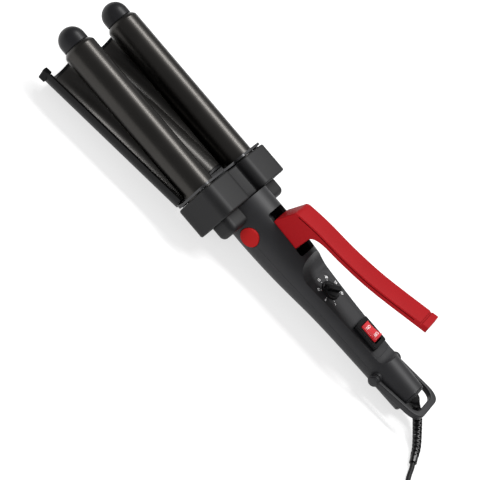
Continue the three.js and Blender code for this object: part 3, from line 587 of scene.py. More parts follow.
def rod(
    name: str, axis: Axis, low: float, high: float, radius: float, sides: int = 96,
    shift: Point3 = (0.0, 0.0, 0.0),
) -> Object:
    """Makes a plain round rod.

    Args:
        name: name of the object.
        axis: axis that it runs along.
        low: place of one end.
        high: place of the other.
        radius: its radius.
        sides: sides of the round.
        shift: move from the axis.

    Returns:
        The solid.
    """
    start, end = sorted((low, high))
    made = lathe(name, [(start, 0), (start, radius), (end, radius), (end, 0)], axis, sides)
    made.data.transform(Matrix.Translation(shift))
    return made


def prism(
    name: str, outline: Sequence[Point2], low: float, high: float, axis: Axis,
    edge: float = 0.0, steps: int = 5,
) -> Object:
    """Runs an outline along an axis: y and z along x, x and z along y, x and y along z.

    Args:
        name: name of the object.
        outline: points of the section.
        low: where it starts on the axis.
        high: where it ends.
        axis: the axis.
        edge: radius that rounds both end edges.
        steps: steps of that rounding.

    Returns:
        The solid.
    """
    clean: list[Point2] = []
    for p in outline:
        if not clean or (Vector(p) - Vector(clean[-1])).length > SAME:
            clean.append(p)
    if (Vector(clean[0]) - Vector(clean[-1])).length < SAME:
        clean.pop()
    levels = [(low, 0.0), (high, 0.0)]
    if edge:
        turns = [math.pi / 2 * i / steps for i in range(steps, -1, -1)]
        start = [(low + edge * (1 - math.sin(a)), edge * (1 - math.cos(a))) for a in turns]
        levels = start + [(high + low - place, inset) for place, inset in reversed(start)]
    points = []
    for place, inset in levels:
        points += [axis.at(place, u, v) for u, v in (shrunk(clean, inset) if inset else clean)]
    return mesh_object(name, points, skin(len(levels), len(clean), True))


def tube(
    name: str, path: Sequence[Point3], radius: Callable[[int, float, float], float], sides: int
) -> Object:
    """Makes a closed tube along a path.

    Args:
        name: name of the object.
        path: points of the centreline.
        radius: radius from the point's number, the angle and the distance run.
        sides: points of each ring.

    Returns:
        The solid.
    """
    line = [Vector(p) for p in path]
    across = Vector((0, 0, 1))
    points, run = [], 0.0
    for i, p in enumerate(line):
        aim = (line[min(i + 1, len(line) - 1)] - line[max(i - 1, 0)]).normalized()
        across = (across - aim * across.dot(aim)).normalized()
        up = aim.cross(across)
        run += (p - line[i - 1]).length if i else 0.0
        for k in range(sides):
            a = 2 * math.pi * k / sides
            r = radius(i, a, run)
            points.append(p + across * (r * math.cos(a)) + up * (r * math.sin(a)))
    return mesh_object(name, points, skin(len(line), sides, True))


def baked(made: Object) -> bpy.types.Mesh:
    """Returns what an object shows, with its modifiers, as a plain mesh."""
    graph = bpy.context.evaluated_depsgraph_get()
    return bpy.data.meshes.new_from_object(made.evaluated_get(graph))


def applied(made: Object) -> Object:
    """Bakes the modifiers of an object into its mesh.

    Args:
        made: the object.

    Returns:
        The same object, without modifiers.
    """
    data = baked(made)
    made.modifiers.clear()
    made.data = data
    return made


def combined(operation: Op, made: Object, *tools: Object) -> Object:
    """Cuts an object with others, or joins or meets it with them.

    Args:
        operation: which of these.
        made: the object that changes.
        tools: the others, which are used up.

    Returns:
        The changed object.
    """
    for tool in tools:
        step = made.modifiers.new("Solid", "BOOLEAN")
        step.operation = operation.value
        step.solver = "MANIFOLD"
        step.object = tool
        applied(made)
        bpy.data.objects.remove(tool)
    return made


def cut(made: Object, *tools: Object) -> Object:
    """Returns an object with others cut out of it."""
    return combined(Op.CUT, made, *tools)


def join(made: Object, *tools: Object) -> Object:
    """Returns an object with others joined to it."""
    return combined(Op.JOIN, made, *tools)


def softened(made: Object, width: float, angle: float = 50.0, segments: int = 2) -> Object:
    """Rounds the sharp edges of an object.

    Args:
        made: the object.
        width: width of the rounding.
        angle: edges sharper than this are rounded, in degrees.
        segments: steps of the rounding.

    Returns:
        The same object.
    """
    step = made.modifiers.new("Round", "BEVEL")
    step.width = width
    step.segments = segments
    step.limit_method = "ANGLE"
    step.angle_limit = math.radians(angle)
    step.miter_outer = "MITER_ARC"
    return applied(made)


def ring_of(
    base: Object, name: str, count: int, radius: float, first: float, span: float, finish: Material
) -> Object:
    """Repeats an object along an arc with a node tree.

    Args:
        base: the object to repeat, which is used up.
        name: name of the result.
        count: how many copies.
        radius: radius of the arc.
        first: angle of the first copy, in degrees.
        span: angle from the first to the last copy, in degrees.
        finish: material of the copies.

    Returns:
        The ring, as one plain mesh.
    """
    tree = bpy.data.node_groups.new(f"{name}Ring", "GeometryNodeTree")
    values = {
        "Count": ("Int", count), "Radius": ("Float", radius),
        "First": ("Float", math.radians(first)), "Span": ("Float", math.radians(span)),
        "Piece": ("Object", base), "Finish": ("Material", finish),
    }
    socket = tree.interface.new_socket
    sockets = {
        label: socket(label, in_out="INPUT", socket_type=f"NodeSocket{kind}").identifier
        for label, (kind, _) in values.items()
    }
    socket("Geometry", in_out="OUTPUT", socket_type="NodeSocketGeometry")
    new, link = tree.nodes.new, tree.links.new
    given, out = new("NodeGroupInput").outputs, new("NodeGroupOutput")
    line, index = new("GeometryNodeMeshLine"), new("GeometryNodeInputIndex")
    place, turn = new("ShaderNodeCombineXYZ"), new("ShaderNodeCombineXYZ")
    moved, info = new("GeometryNodeSetPosition"), new("GeometryNodeObjectInfo")
    spread, real = new("GeometryNodeInstanceOnPoints"), new("GeometryNodeRealizeInstances")
    dressed = new("GeometryNodeSetMaterial")
    share = maths(tree, "DIVIDE", index.outputs[0], maths(tree, "SUBTRACT", given["Count"], 1.0))
    angle = maths(tree, "ADD", given["First"], maths(tree, "MULTIPLY", share, given["Span"]))
    for axis, operation in enumerate(("COSINE", "SINE")):
        part = maths(tree, "MULTIPLY", maths(tree, operation, angle), given["Radius"])
        link(part, place.inputs[axis])
    link(given["Count"], line.inputs["Count"])
    link(line.outputs["Mesh"], moved.inputs["Geometry"])
    link(place.outputs[0], moved.inputs["Position"])
    link(given["Piece"], info.inputs["Object"])
    link(angle, turn.inputs[2])
    link(moved.outputs["Geometry"], spread.inputs["Points"])
    link(info.outputs["Geometry"], spread.inputs["Instance"])
    link(turn.outputs[0], spread.inputs["Rotation"])
    link(spread.outputs["Instances"], real.inputs["Geometry"])
    link(real.outputs["Geometry"], dressed.inputs["Geometry"])
    link(given["Finish"], dressed.inputs["Material"])
    link(dressed.outputs["Geometry"], out.inputs["Geometry"])
    made = mesh_object(name, [(0, 0, 0)], [])
    step = made.modifiers.new("Ring", "NODES")
    step.node_group = tree
    for label, (_, value) in values.items():
        step[sockets[label]] = value
    applied(made)
    bpy.data.objects.remove(base)
    return made


def lettering(
    name: str, words: str, size: float, bold: float = 0.0, relief: float = 0.03
) -> Object:
    """Makes flat raised words, centred, with their top along y.

    Args:
        name: name of the object.
        words: what is written.
        size: height of the letters' line.
        bold: how far the strokes are widened.
        relief: how far the letters stand up and down from their plane.

    Returns:
        The words as a plain mesh.
    """
    curve = bpy.data.curves.new(name, "FONT")
    curve.body, curve.size = words, size
    curve.extrude, curve.offset = relief, bold
    curve.align_x, curve.align_y = "CENTER", "CENTER"
    text = linked(name, curve)
    data = baked(text)
    bpy.data.objects.remove(text)
    return linked(name, data)


def settle(
    made: Object, material: Material, nodes: Sequence[str] = (),
    matrix: Matrix | None = None, body: Body = Body.HANDLE, smooth: float = 32.0,
) -> Object:
    """Puts a finished piece in the row frame, and says what it rides on and stands for.

    Args:
        made: the piece, in its own frame in millimetres.
        material: its finish.
        nodes: CAD nodes that it stands for.
        matrix: from its frame to the row frame; the tool's own unless given.
        body: the body that it rides on.
        smooth: edges sharper than this angle stay sharp.

    Returns:
        The piece.
    """
    data = made.data
    data.transform(LAY.tool() if matrix is None else matrix)
    data.materials.clear()
    data.materials.append(material)
    data.shade_smooth()
    data.set_sharp_from_angle(angle=math.radians(smooth))
    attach(made, body.value)
    if nodes:
        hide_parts(*nodes)
    LOG.info("%s: %d faces", made.name, len(data.polygons))
    return made


# Sub-assemblies


@dataclass
class Barrels:
    """Two coated barrels with domed tips."""

    radius: float = 11.7
    spacing: float = 51.6
    wall: float = 1.0
    gap: float = 0.3
    front: float = -166.0
    heel: float = -28.0
    shoulder: float = 2.6
    shoulder_bend: Point2 = (0.7, 0.1)
    shoulder_end: float = 0.4
    rim: float = 0.15
    seat_depth: float = 3.0
    tip_radius: float = 9.5
    tip_neck: float = 4.6
    tip_edge: Point2 = (0.5, 0.35)
    spigot_length: float = 9.0
    spigot_taper: float = 0.4

    def build(self, look: Palette) -> None:
        """Makes both barrels and both tips.

        Args:
            look: the materials.
        """
        for side in Side:
            move = LAY.turned((0, side.value * self.spacing / 2, 0))
            settle(self._barrel(side), look.coating, [f"barrel_{side.word}"], move)
            settle(self._tip(side), look.tip, [f"barrel_tip_{side.word}"], move)

    def _barrel(self, side: Side) -> Object:
        """Makes one barrel, open at its heel.

        Args:
            side: side of the tool, for the name.

        Returns:
            The barrel on its own axis.
        """
        start, bore = self.front - self.shoulder, self.radius - self.wall
        mouth, seat = self.tip_radius - self.wall + self.gap, self.front + self.seat_depth
        profile = [(start, mouth), (start, self.tip_radius + self.rim),
                   (start + self.rim, self.tip_radius + 2 * self.rim)]
        bend = (self.front - self.shoulder_bend[0], self.radius - self.shoulder_bend[1])
        profile += quadratic(profile[-1], bend, (self.front + self.shoulder_end, self.radius), 6)
        profile += [(self.heel, self.radius), (self.heel, bore)]
        profile += [(seat, bore), (seat, mouth), (start, mouth)]
        return lathe(f"Barrel_{side.word}", profile, Axis.X, 128)

    def _tip(self, side: Side) -> Object:
        """Makes one domed tip with the spigot that holds it.

        Args:
            side: side of the tool, for the name.

        Returns:
            The tip on the barrel's axis.
        """
        r, base = self.tip_radius, self.front - self.shoulder - self.gap
        inner, end = r - self.wall, base + self.spigot_length
        profile = arc(base - self.tip_neck, 0, r, 180, 90, 24)
        profile += [(base - self.tip_edge[0], r), (base, r - self.tip_edge[1]), (base, inner)]
        profile += [(end, inner - self.spigot_taper), (end, 0)]
        return lathe(f"Tip_{side.word}", profile, Axis.X)


@dataclass
class Head:
    """Collar with two lobes and a saddle, its ears and the heat shield."""

    back: float = -20.0
    length: float = 23.0
    half_width: float = 40.0
    half_height: float = 17.4
    corner: float = 6.5
    outer_corner: float = 7.5
    fillet: float = 1.6
    edge: float = 1.3
    valley: float = 8.0
    bridge: float = 9.5
    roof: float = 2.5
    window: float = 9.0
    window_drop: float = 3.5
    spacing: float = 51.6
    barrel: float = 12.0
    seat_depth: float = 15.3
    ear_outer: float = 35.0
    ear_half_height: float = 8.0
    ear_corner: float = 5.0
    ear_edge: float = 4.0
    ear_root: float = 3.0
    ear_length: float = 11.2
    neck: float = 19.0
    neck_length: float = 12.0
    shield_inset: float = 1.4
    shield_fillet: float = 0.6
    shield_gap: float = 0.9
    shield_thickness: float = 1.6
    bridge_inset: float = 0.6
    foot: float = 2.0
    foot_inset: float = 3.0
    foot_height: float = 10.0
    foot_span: Point2 = (0.5, 0.6)
    soft: float = 0.25

    def _outline(self, inset: float, windowed: bool, fillet: float) -> list[Point2]:
        """Finds the outline of the two lobes and the bridge between them.

        Args:
            inset: how far inside the collar's outline it lies.
            windowed: whether the window opens the bridge from below.
            fillet: radius between the bridge and the lobes.

        Returns:
            The points as y and z.
        """
        inner, outer = self.valley + inset, self.half_width - inset
        top, r, s = self.half_height - inset, self.corner - inset / 2, self.outer_corner - inset
        bridge = self.bridge - min(inset, self.bridge_inset)
        right: list[Point2] = [(0.0, -bridge)]
        if windowed:
            right = [(self.window, self.bridge - self.roof), (self.window, -bridge)]
        right += arc(inner - fillet, -bridge - fillet, fillet, 90, 0, 6)
        right += arc(inner + r, -top + r, r, 180, 270, 10)
        right += arc(outer - s, -top + s, s, 270, 360, 16)
        right += arc(outer - s, top - s, s, 0, 90, 16)
        right += arc(inner + r, top - r, r, 90, 180, 10)
        right += arc(inner - fillet, bridge + fillet, fillet, 0, -90, 6)
        left = [(-y, z) for y, z in reversed(right)]
        return right + (left if windowed else left[:-1])

    def _bore(self, name: str, low: float, high: float, side: Side) -> Object:
        """Returns the cutter for one side's barrel, from one place on x to another."""
        shift = (0, side.value * self.spacing / 2, 0)
        return rod(name, Axis.X, low, high, self.barrel, shift=shift)

    def build(self, look: Palette) -> None:
        """Makes the collar and the shield in their materials."""
        settle(self._collar(), look.collar, ["head_collar"])
        settle(self._shield(), look.shield, ["heat_shield"])

    def _collar(self) -> Object:
        """Makes the collar with its ears, the seats of the barrels and the arm's window.

        Returns:
            The collar in the tool's frame.
        """
        front = self.back - self.length
        outline = self._outline(0, False, self.fillet)
        made = prism("Collar", outline, front, self.back, Axis.X, self.edge)
        outline = rounded(0, 0, self.ear_outer, self.ear_half_height, self.ear_corner)
        root, end = self.back - self.ear_root, self.back + self.ear_length
        ears = prism("Ears", outline, root, end, Axis.X, self.ear_edge, 8)
        cut(ears, rod("Neck", Axis.X, self.back, self.back + self.neck_length, self.neck))
        join(made, ears)
        for side in reversed(Side):
            cut(made, self._bore("Seat", front - BEYOND, front + self.seat_depth, side))
        low, high = -self.bridge - self.window_drop, self.bridge - self.roof
        room = oblong(-self.window, low, self.window, high)
        return cut(made, prism("Window", room, front - BEYOND, self.back + BEYOND, Axis.X))

    def _shield(self) -> Object:
        """Makes the heat shield with the feet that hold it off the collar.

        Returns:
            The shield in the tool's frame.
        """
        back = self.back - self.length - self.shield_gap
        front = back - self.shield_thickness
        outline = self._outline(self.shield_inset, True, self.shield_fillet)
        made = prism("HeatShield", outline, front, back, Axis.X)
        reach = self.half_width - self.shield_inset - self.foot_inset
        low, high = back - self.foot_span[0], back + self.foot_span[1]
        for side in reversed(Side):
            cut(made, self._bore("Hole", front - BEYOND, back + BEYOND, side))
            for z in (-self.foot_height, self.foot_height):
                shift = (0, side.value * reach, z)
                join(made, rod("Foot", Axis.X, low, high, self.foot, 24, shift))
        return softened(made, self.soft)


@dataclass
class Handle:
    """Two grip shells with the lever slot and the flat for the controls."""

    radii: tuple[Point2, ...] = (
        (-19.7, 18.7), (6, 18.7), (34, 17.5), (72, 14.4), (110.5, 12.95), (149, 12.1))
    wall: float = 2.4
    seam: float = 0.12
    soft: float = 0.2
    outside: float = 26.0
    flat: float = 8.0
    flat_front: float = 48.0
    flat_back: float = 117.0
    floor: float = 4.3
    scoop: float = 13.0
    scoop_top: float = 17.5
    scoop_bend: Point2 = (3.0, 1.0)
    ramp: float = 6.0
    ramp_rise: float = 5.5
    ramp_bend: Point2 = (1.0, 0.5)
    slot_front: float = -3.6
    slot_back: float = 32.0
    slot_half: float = 9.0
    slot_corner: float = 2.0
    slot_floor: float = 9.0
    cap: float = 7.3
    cap_floor: float = 16.7
    loop_x: float = 125.0
    boss: float = 4.2
    boss_root: float = 9.5
    boss_reach: float = 14.3
    panel_floor: float = 6.1
    panel_fit: float = 0.08
    reach: float = 200.0

    def build(self, look: Palette) -> None:
        """Makes the two shells.

        Args:
            look: the materials.
        """
        whole = self._grip()
        for name, node, low, high in (
            ("HandleUpper", "handle_upper_shell", self.seam / 2, self.reach),
            ("HandleLower", "handle_lower_shell", -self.reach, -self.seam / 2),
        ):
            shell = linked(name, whole.data.copy())
            half = oblong(-self.reach, low, self.reach, high)
            combined(Op.KEEP, shell, prism("Half", half, -self.reach, self.reach, Axis.X))
            softened(shell, self.soft, 42)
            settle(shell, look.plastic, [node], smooth=30)
        bpy.data.objects.remove(whole)

    def _profile(self, inset: float) -> list[Point2]:
        """Finds the profile of the grip's outside, or of its room.

        Args:
            inset: how far inside the grip's surface it lies.

        Returns:
            (place on x, radius) pairs, closed on the axis.
        """
        line = catmull(self.radii, 14)
        (front, wide), (back, thin), more = line[0], line[-1], BEYOND if inset else 0.0
        ends = [(front - more, wide), *line, (back + more, thin)]
        return [(front - more, 0.0), *((x, r - inset) for x, r in ends), (back + more, 0.0)]

    def _recess(self, floor: float) -> Object:
        """Makes the cutter of the flat, with its scoop in front and its ramp behind.

        Args:
            floor: height of the flat.

        Returns:
            The cutter in the tool's frame.
        """
        high, scoop, ramp = self.outside, self.flat_front - self.scoop, self.flat_back + self.ramp
        outline = [(scoop, high), (scoop, self.scoop_top)]
        bend = (scoop + self.scoop_bend[0], floor + self.scoop_bend[1])
        outline += quadratic(outline[-1], bend, (self.flat_front, floor), 16)
        outline += [(self.flat_back, floor)]
        bend = (ramp - self.ramp_bend[0], floor + self.ramp_bend[1])
        outline += quadratic(outline[-1], bend, (ramp, floor + self.ramp_rise), 8) + [(ramp, high)]
        return prism("Recess", outline, -self.outside, self.outside, Axis.Y)

    def _grip(self) -> Object:
        """Makes the hollow grip with its seats and its slot.

        Returns:
            The grip in one piece, in the tool's frame.
        """
        made = cut(lathe("Grip", self._profile(0.0), Axis.X, 128), self._recess(self.flat))
        inside = lathe("Inside", self._profile(self.wall), Axis.X, 64)
        cut(made, cut(inside, self._recess(self.flat - self.floor)))
        for side in reversed(Side):
            root, reach = side.value * self.boss_root, side.value * self.boss_reach
            join(made, rod("Boss", Axis.Y, root, reach, self.boss, 48, (self.loop_x, 0, 0)))
            floor, outside = side.value * self.cap_floor, side.value * self.outside
            cut(made, rod("CapSeat", Axis.Y, floor, outside, self.cap, 64))
        front, back = self.slot_front, self.slot_back
        slot = rounded((front + back) / 2, 0, (back - front) / 2, self.slot_half, self.slot_corner)
        cut(made, prism("Slot", slot, self.slot_floor, self.outside, Axis.Z))
        seat = PANEL.outline(self.panel_fit)
        return cut(made, prism("PanelSeat", seat, self.panel_floor, self.outside, Axis.Z))


@dataclass
class Controls:
    """Panel plate, dial with its scale, and the rocker switch."""

    top: float = 8.0
    gap: float = 0.3
    plate_floor: float = 6.4
    plate_edge: float = 0.08
    shaft: float = 3.0
    cutter: float = 12.0
    dial_x: float = 61.4
    dial_radius: float = 7.1
    dial_turn: float = 50.0
    dial_rim: tuple[Point2, ...] = (
        (0.0, 0.15), (0.15, 0.0), (0.9, 0.15), (1.15, 0.6), (1.3, 1.1), (1.9, 1.45), (2.2, 1.8))
    bar_half_width: float = 1.9
    bar_corner: float = 1.7
    bar_inset: float = 0.6
    bar_span: Point2 = (0.5, 4.6)
    bar_edge: float = 0.5
    switch_x: float = 100.0
    switch_length: float = 21.0
    switch_width: float = 15.0
    switch_corner: float = 1.2
    switch_edge: float = 0.5
    proud: float = 3.6
    body_half: Point2 = (9.5, 6.5)
    body_span: Point2 = (-1.9, 9.0)
    well_end: float = 0.8
    well_corner: float = 0.4
    well_depth: float = 4.4
    rocker_length: float = 13.8
    rocker_width: float = 8.4
    rocker_throw: float = 18.0
    rocker_pivot: float = 0.6
    rocker_end: Point2 = (0.4, 5.2)
    rocker_side: float = 2.4
    rocker_bottom: float = -2.4
    rocker_dish: float = 3.2
    rocker_belly: Point2 = (2.0, -1.2)
    rocker_edge: float = 0.4
    word_size: float = 3.1
    word_height: float = 4.26
    word_places: tuple[tuple[str, float], ...] = (("ON", -3.3), ("OFF", 3.5))
    numbers: tuple[str, ...] = ("30", "25", "20", "15", "10", "5", "1")
    number_size: float = 2.6
    number_bold: float = 0.03
    number_ring: float = 10.2
    number_lift: float = 0.02
    scale_span: float = 280.0
    tick_ring: float = 8.0
    tick_half: Point2 = (0.4, 0.16)
    tick_corner: float = 0.12
    tick_height: float = 0.05

    def build(self, look: Palette) -> None:
        """Makes the plate, the dial, the switch and the marks.

        Args:
            look: the materials.
        """
        settle(self._plate(), look.plastic, ["control_panel"])
        turn = LAY.turned((self.dial_x, 0, 0), self.dial_turn)
        settle(self._knob(), look.deep, ["temperature_dial"], turn, Body.DIAL)
        settle(self._housing(), look.deep, ["switch_housing"])
        place = (self.switch_x, 0, self.top + self.rocker_pivot)
        pivot = LAY.turned(place, -self.rocker_throw / 2, Axis.Y)
        settle(self._rocker(), look.rocker, ["power_rocker"], pivot, Body.ROCKER)
        self._words(look, pivot)
        self._scale(look)

    def _room(self, fit: float) -> list[Point2]:
        """Returns the plan of the switch's body, larger all round by a fit."""
        x, y = self.body_half[0] + fit, self.body_half[1] + fit
        return oblong(self.switch_x - x, -y, self.switch_x + x, y)

    def _plate(self) -> Object:
        """Makes the panel plate with its openings for the switch and the shaft.

        Returns:
            The plate in the tool's frame.
        """
        low, high = self.plate_floor, self.top
        made = prism("ControlPanel", PANEL.outline(), low, high, Axis.Z, self.plate_edge)
        cut(made, prism("Room", self._room(self.gap), 0, self.cutter, Axis.Z))
        return cut(made, rod("Shaft", Axis.Z, 0, self.cutter, self.shaft, 48, (self.dial_x, 0, 0)))

    def _knob(self) -> Object:
        """Makes the dial with its finger bar.

        Returns:
            The dial on its own axis, with its bar along x.
        """
        foot, r = self.top + self.gap, self.dial_radius
        rim = [(foot + height, r - inset) for height, inset in self.dial_rim]
        made = lathe("Dial", [(foot, 0), *rim, (rim[-1][0], 0)], Axis.Z)
        outline = rounded(0, 0, r - self.bar_inset, self.bar_half_width, self.bar_corner, 10)
        low, high = foot + self.bar_span[0], foot + self.bar_span[1]
        return join(made, prism("Bar", outline, low, high, Axis.Z, self.bar_edge))

    def _housing(self) -> Object:
        """Makes the housing of the switch with the well for its rocker.

        Returns:
            The housing in the tool's frame.
        """
        low, high, x = self.top + self.gap, self.top + self.proud, self.switch_x
        outline = rounded(x, 0, self.switch_length / 2, self.switch_width / 2, self.switch_corner)
        made = prism("SwitchHousing", outline, low, high, Axis.Z, self.switch_edge)
        join(made, prism("SwitchBody", self._room(0.0), *self.body_span, Axis.Z))
        half_x, half_y = self.rocker_length / 2 + self.well_end, self.rocker_width / 2 + self.gap
        well = rounded(x, 0, half_x, half_y, self.well_corner, 3)
        return cut(made, prism("Well", well, self.top - self.well_depth, high + BEYOND, Axis.Z))

    def _rocker(self) -> Object:
        """Makes the rocker, dished on top and round below.

        Returns:
            The rocker about its pivot.
        """
        half, side, (lean, top) = self.rocker_length / 2, self.rocker_side, self.rocker_end
        draw, low = self.rocker_belly
        outline: list[Point2] = [(-half, side), (-half + lean, top)]
        outline += quadratic(outline[-1], (0, self.rocker_dish), (half - lean, top), 20)
        outline += [(half, side)]
        outline += quadratic(outline[-1], (half - draw, low), (0, self.rocker_bottom), 8)
        outline += quadratic(outline[-1], (-half + draw, low), (-half, side), 8)[:-1]
        reach = self.rocker_width / 2
        return prism("Rocker", outline, -reach, reach, Axis.Y, self.rocker_edge)

    def _words(self, look: Palette, pivot: Matrix) -> None:
        """Lays the words ON and OFF on the rocker's dished face.

        Args:
            look: the materials.
            pivot: from the rocker's frame to the row frame.
        """
        reach = self.rocker_length / 2 - self.rocker_end[0]
        across = Matrix.Rotation(-math.pi / 2, 4, "Z")
        for word, x in self.word_places:
            made = lettering(f"Word_{word}", word, self.word_size)
            lean = Matrix.Rotation(-math.atan(2 * x / reach**2), 4, "Y")
            place = Matrix.Translation((x, 0, self.word_height + (x / reach) ** 2))
            made.data.transform(place @ lean @ across)
            settle(made, look.ink, matrix=pivot, body=Body.ROCKER)

    def _scale(self, look: Palette) -> None:
        """Lays the ticks and the numbers round the dial.

        Args:
            look: the materials.
        """
        place, count = LAY.turned((self.dial_x, 0, self.top)), len(self.numbers)
        first, span = self.dial_turn, self.scale_span
        outline = rounded(0, 0, *self.tick_half, self.tick_corner, 3)
        tick = prism("Tick", outline, 0, self.tick_height, Axis.Z)
        marks = ring_of(tick, "DialMarks", count, self.tick_ring, first, span, look.ink)
        settle(marks, look.ink, matrix=place)
        for i, number in enumerate(self.numbers):
            angle = math.radians(first + span * i / (count - 1))
            made = lettering(f"Number_{number}", number, self.number_size, self.number_bold)
            x, y = self.number_ring * math.cos(angle), self.number_ring * math.sin(angle)
            spot = Matrix.Translation((x, y, self.number_lift))
            made.data.transform(spot @ Matrix.Rotation(angle - math.pi / 2, 4, "Z"))
            settle(made, look.ink, matrix=place)


@dataclass
class Clamp:
    """Wave clamp below the barrels, and the red lever."""

    half: float = 25.8
    trough: float = 12.4
    ridge: float = 14.0
    plate: float = 0.7
    plate_soft: float = 0.15
    gap: float = 0.3
    wall: float = 0.9
    soft: float = 0.25
    tip: float = -170.0
    heel: float = -48.2
    end_wall: float = 1.8
    channel_floor: float = 1.5
    passage: tuple[float, float, float, float] = (-8.3, -5.3, 8.3, 4.41)
    tab: float = 4.0
    tab_root: float = 1.0
    tab_half: Point2 = (2.2, 4.5)
    tab_corner: float = 1.4
    tab_edge: float = 0.6
    arm_top: float = 5.6
    lever_half: float = 8.5
    lever_thickness: float = 5.0
    lever_edge: float = 1.0
    lever_line: tuple[Point2, ...] = ((15, 34.2), (31, 34.6), (57, 33.6), (84, 34.7), (125, 40.3))
    lever_front: tuple[Point2, ...] = ((4.6, 18.3), (11, 31.6))
    lever_brow: Point2 = (11.8, 34.0)
    lever_tip: float = 125.6
    lever_foot: Point2 = (4.0, 27.0)
    throat_start: float = 42.0
    throat: tuple[Point2, Point2] = ((32, 29.6), (29.6, 25))
    throat_rise: float = 6.0
    pocket_span: Point2 = (62.0, 119.0)
    pocket_depth: float = 6.0
    pocket_wall: float = 1.8
    lip: tuple[Point2, ...] = ((-6.2, -2.1), (-4.8, -1.9), (-4.2, 2.0), (-6.6, 2.0))
    groove_end: float = 115.0
    groove_drop: float = 1.9
    groove_height: float = 0.8
    groove_depth: float = 1.1

    @property
    def outer(self) -> float:
        """Returns the radius of the housing's outer side."""
        return self.trough + self.plate + self.gap + self.wall

    @property
    def low(self) -> float:
        """Returns the height of the ridge's centre."""
        return -math.sqrt((self.trough + self.ridge) ** 2 - self.half**2)

    @property
    def lean(self) -> float:
        """Returns the angle of the line between a trough's centre and the ridge's."""
        return math.degrees(math.atan2(-self.low, self.half))

    def _wave(self, drop: float, steps: int = 40) -> list[Point2]:
        """Finds the wave of two troughs and a ridge.

        Args:
            drop: how far below the plate's face it lies.
            steps: steps of each arc.

        Returns:
            The points as y and z.
        """
        found = arc(-self.half, 0, self.trough + drop, 180, 360 - self.lean, steps)
        found += arc(0, self.low, self.ridge - drop, 180 - self.lean, self.lean, steps)
        return found + arc(self.half, 0, self.trough + drop, 180 + self.lean, 360, steps)

    def build(self, look: Palette) -> None:
        """Makes the housing, the wave plate and the lever.

        Args:
            look: the materials.
        """
        for made, material, slot, node in (
            # The housing takes the darker black, whose extra darkness is painted shade.
            (self._housing(), look.deep, Slot.PLASTIC, "clamp_housing"),
            # The plate takes the darkened coating, whose darkness is painted shade between the
            # barrels.
            (self._plate(), look.plate, Slot.COATING, "wave_plate"),
            (self._lever(), look.red, Slot.RED, "lever"),
        ):
            settle(made, material, [node], LAY.clamp(), Body.CLAMP)

    def _plate(self) -> Object:
        """Makes the wave plate.

        Returns:
            The plate in the closed clamp's frame.
        """
        outline = self._wave(0.0) + list(reversed(self._wave(self.plate)))
        low, high = self.tip + self.end_wall + self.gap, self.heel - self.end_wall - self.gap
        return softened(prism("WavePlate", outline, low, high, Axis.X), self.plate_soft, 60)

    def _housing(self) -> Object:
        """Makes the housing: a tub with a channel for the arm, two end walls and a tab.

        Returns:
            The housing in the closed clamp's frame.
        """
        seat, floor = self.trough + self.plate + self.gap, -self.outer + self.channel_floor
        channel, brink = self.half - seat - self.wall, -seat * math.sin(math.radians(self.lean))
        belly = arc(-self.half, 0, self.outer, 180, 270, 20)
        belly += arc(self.half, 0, self.outer, 270, 360, 20)
        tub = belly + arc(self.half, 0, seat, 360, 180 + self.lean, 40)
        tub += [(channel, brink), (channel, floor), (-channel, floor), (-channel, brink)]
        tub += arc(-self.half, 0, seat, 360 - self.lean, 180, 40)
        made = prism("ClampHousing", tub, self.tip, self.heel, Axis.X)
        wall = belly + list(reversed(self._wave(0.0)))
        join(made, prism("EndWall", wall, self.tip, self.tip + self.end_wall, Axis.X))
        low, high = self.heel - self.end_wall, self.heel
        passage = prism("Passage", oblong(*self.passage), low - BEYOND, high + BEYOND, Axis.X)
        join(made, cut(prism("HeelWall", wall, low, high, Axis.X), passage))
        wide, tall = self.tab_half
        outline = rounded(-self.half - self.outer + wide, -tall, wide, tall, self.tab_corner)
        front, root = self.tip - self.tab, self.tip + self.tab_root
        join(made, prism("Tab", outline, front, root, Axis.X, self.tab_edge))
        return softened(made, self.soft)

    def _lever(self) -> Object:
        """Makes the squeeze lever with the room below it, its end lip and its side grooves.

        Returns:
            The lever in the closed clamp's frame.
        """
        half, foot = self.lever_half, self.arm_top + self.gap
        top = catmull(self.lever_line, 16)
        under = [(x, z - self.lever_thickness) for x, z in top if x > self.throat_start]
        bend, heel = self.throat
        outline: list[Point2] = [(self.lever_foot[0], foot), *self.lever_front]
        outline += quadratic(outline[-1], self.lever_brow, top[0], 8)[:-1] + top
        outline += [(self.lever_tip, under[-1][1]), *reversed(under[:-1])]
        outline += quadratic(under[0], bend, heel, 12)
        outline += [(self.lever_foot[1], foot + self.throat_rise), (self.lever_foot[1], foot)]
        made = prism("Lever", outline, -half, half, Axis.Y, self.lever_edge)
        start, end = self.pocket_span
        roof = [(x, z - self.pocket_wall) for x, z in top if start < x < end]
        sides = [(x, z - self.pocket_depth) for x, z in (roof[0], roof[-1])]
        room = half - self.pocket_wall
        cut(made, prism("Pocket", [sides[0], *roof, sides[1]], -room, room, Axis.Y))
        lip = [(top[-1][0] + x, top[-1][1] + z) for x, z in self.lip]
        cut(made, prism("Lip", lip, -half - BEYOND, half + BEYOND, Axis.Y))
        line = [(x, z - self.groove_drop) for x, z in top if x < self.groove_end]
        groove = line + [(x, z + self.groove_height) for x, z in reversed(line)]
        for side in reversed(Side):
            deep, face = side.value * (half - self.groove_depth), side.value * (half + BEYOND)
            cut(made, prism("Seam", groove, deep, face, Axis.Y))
        return made


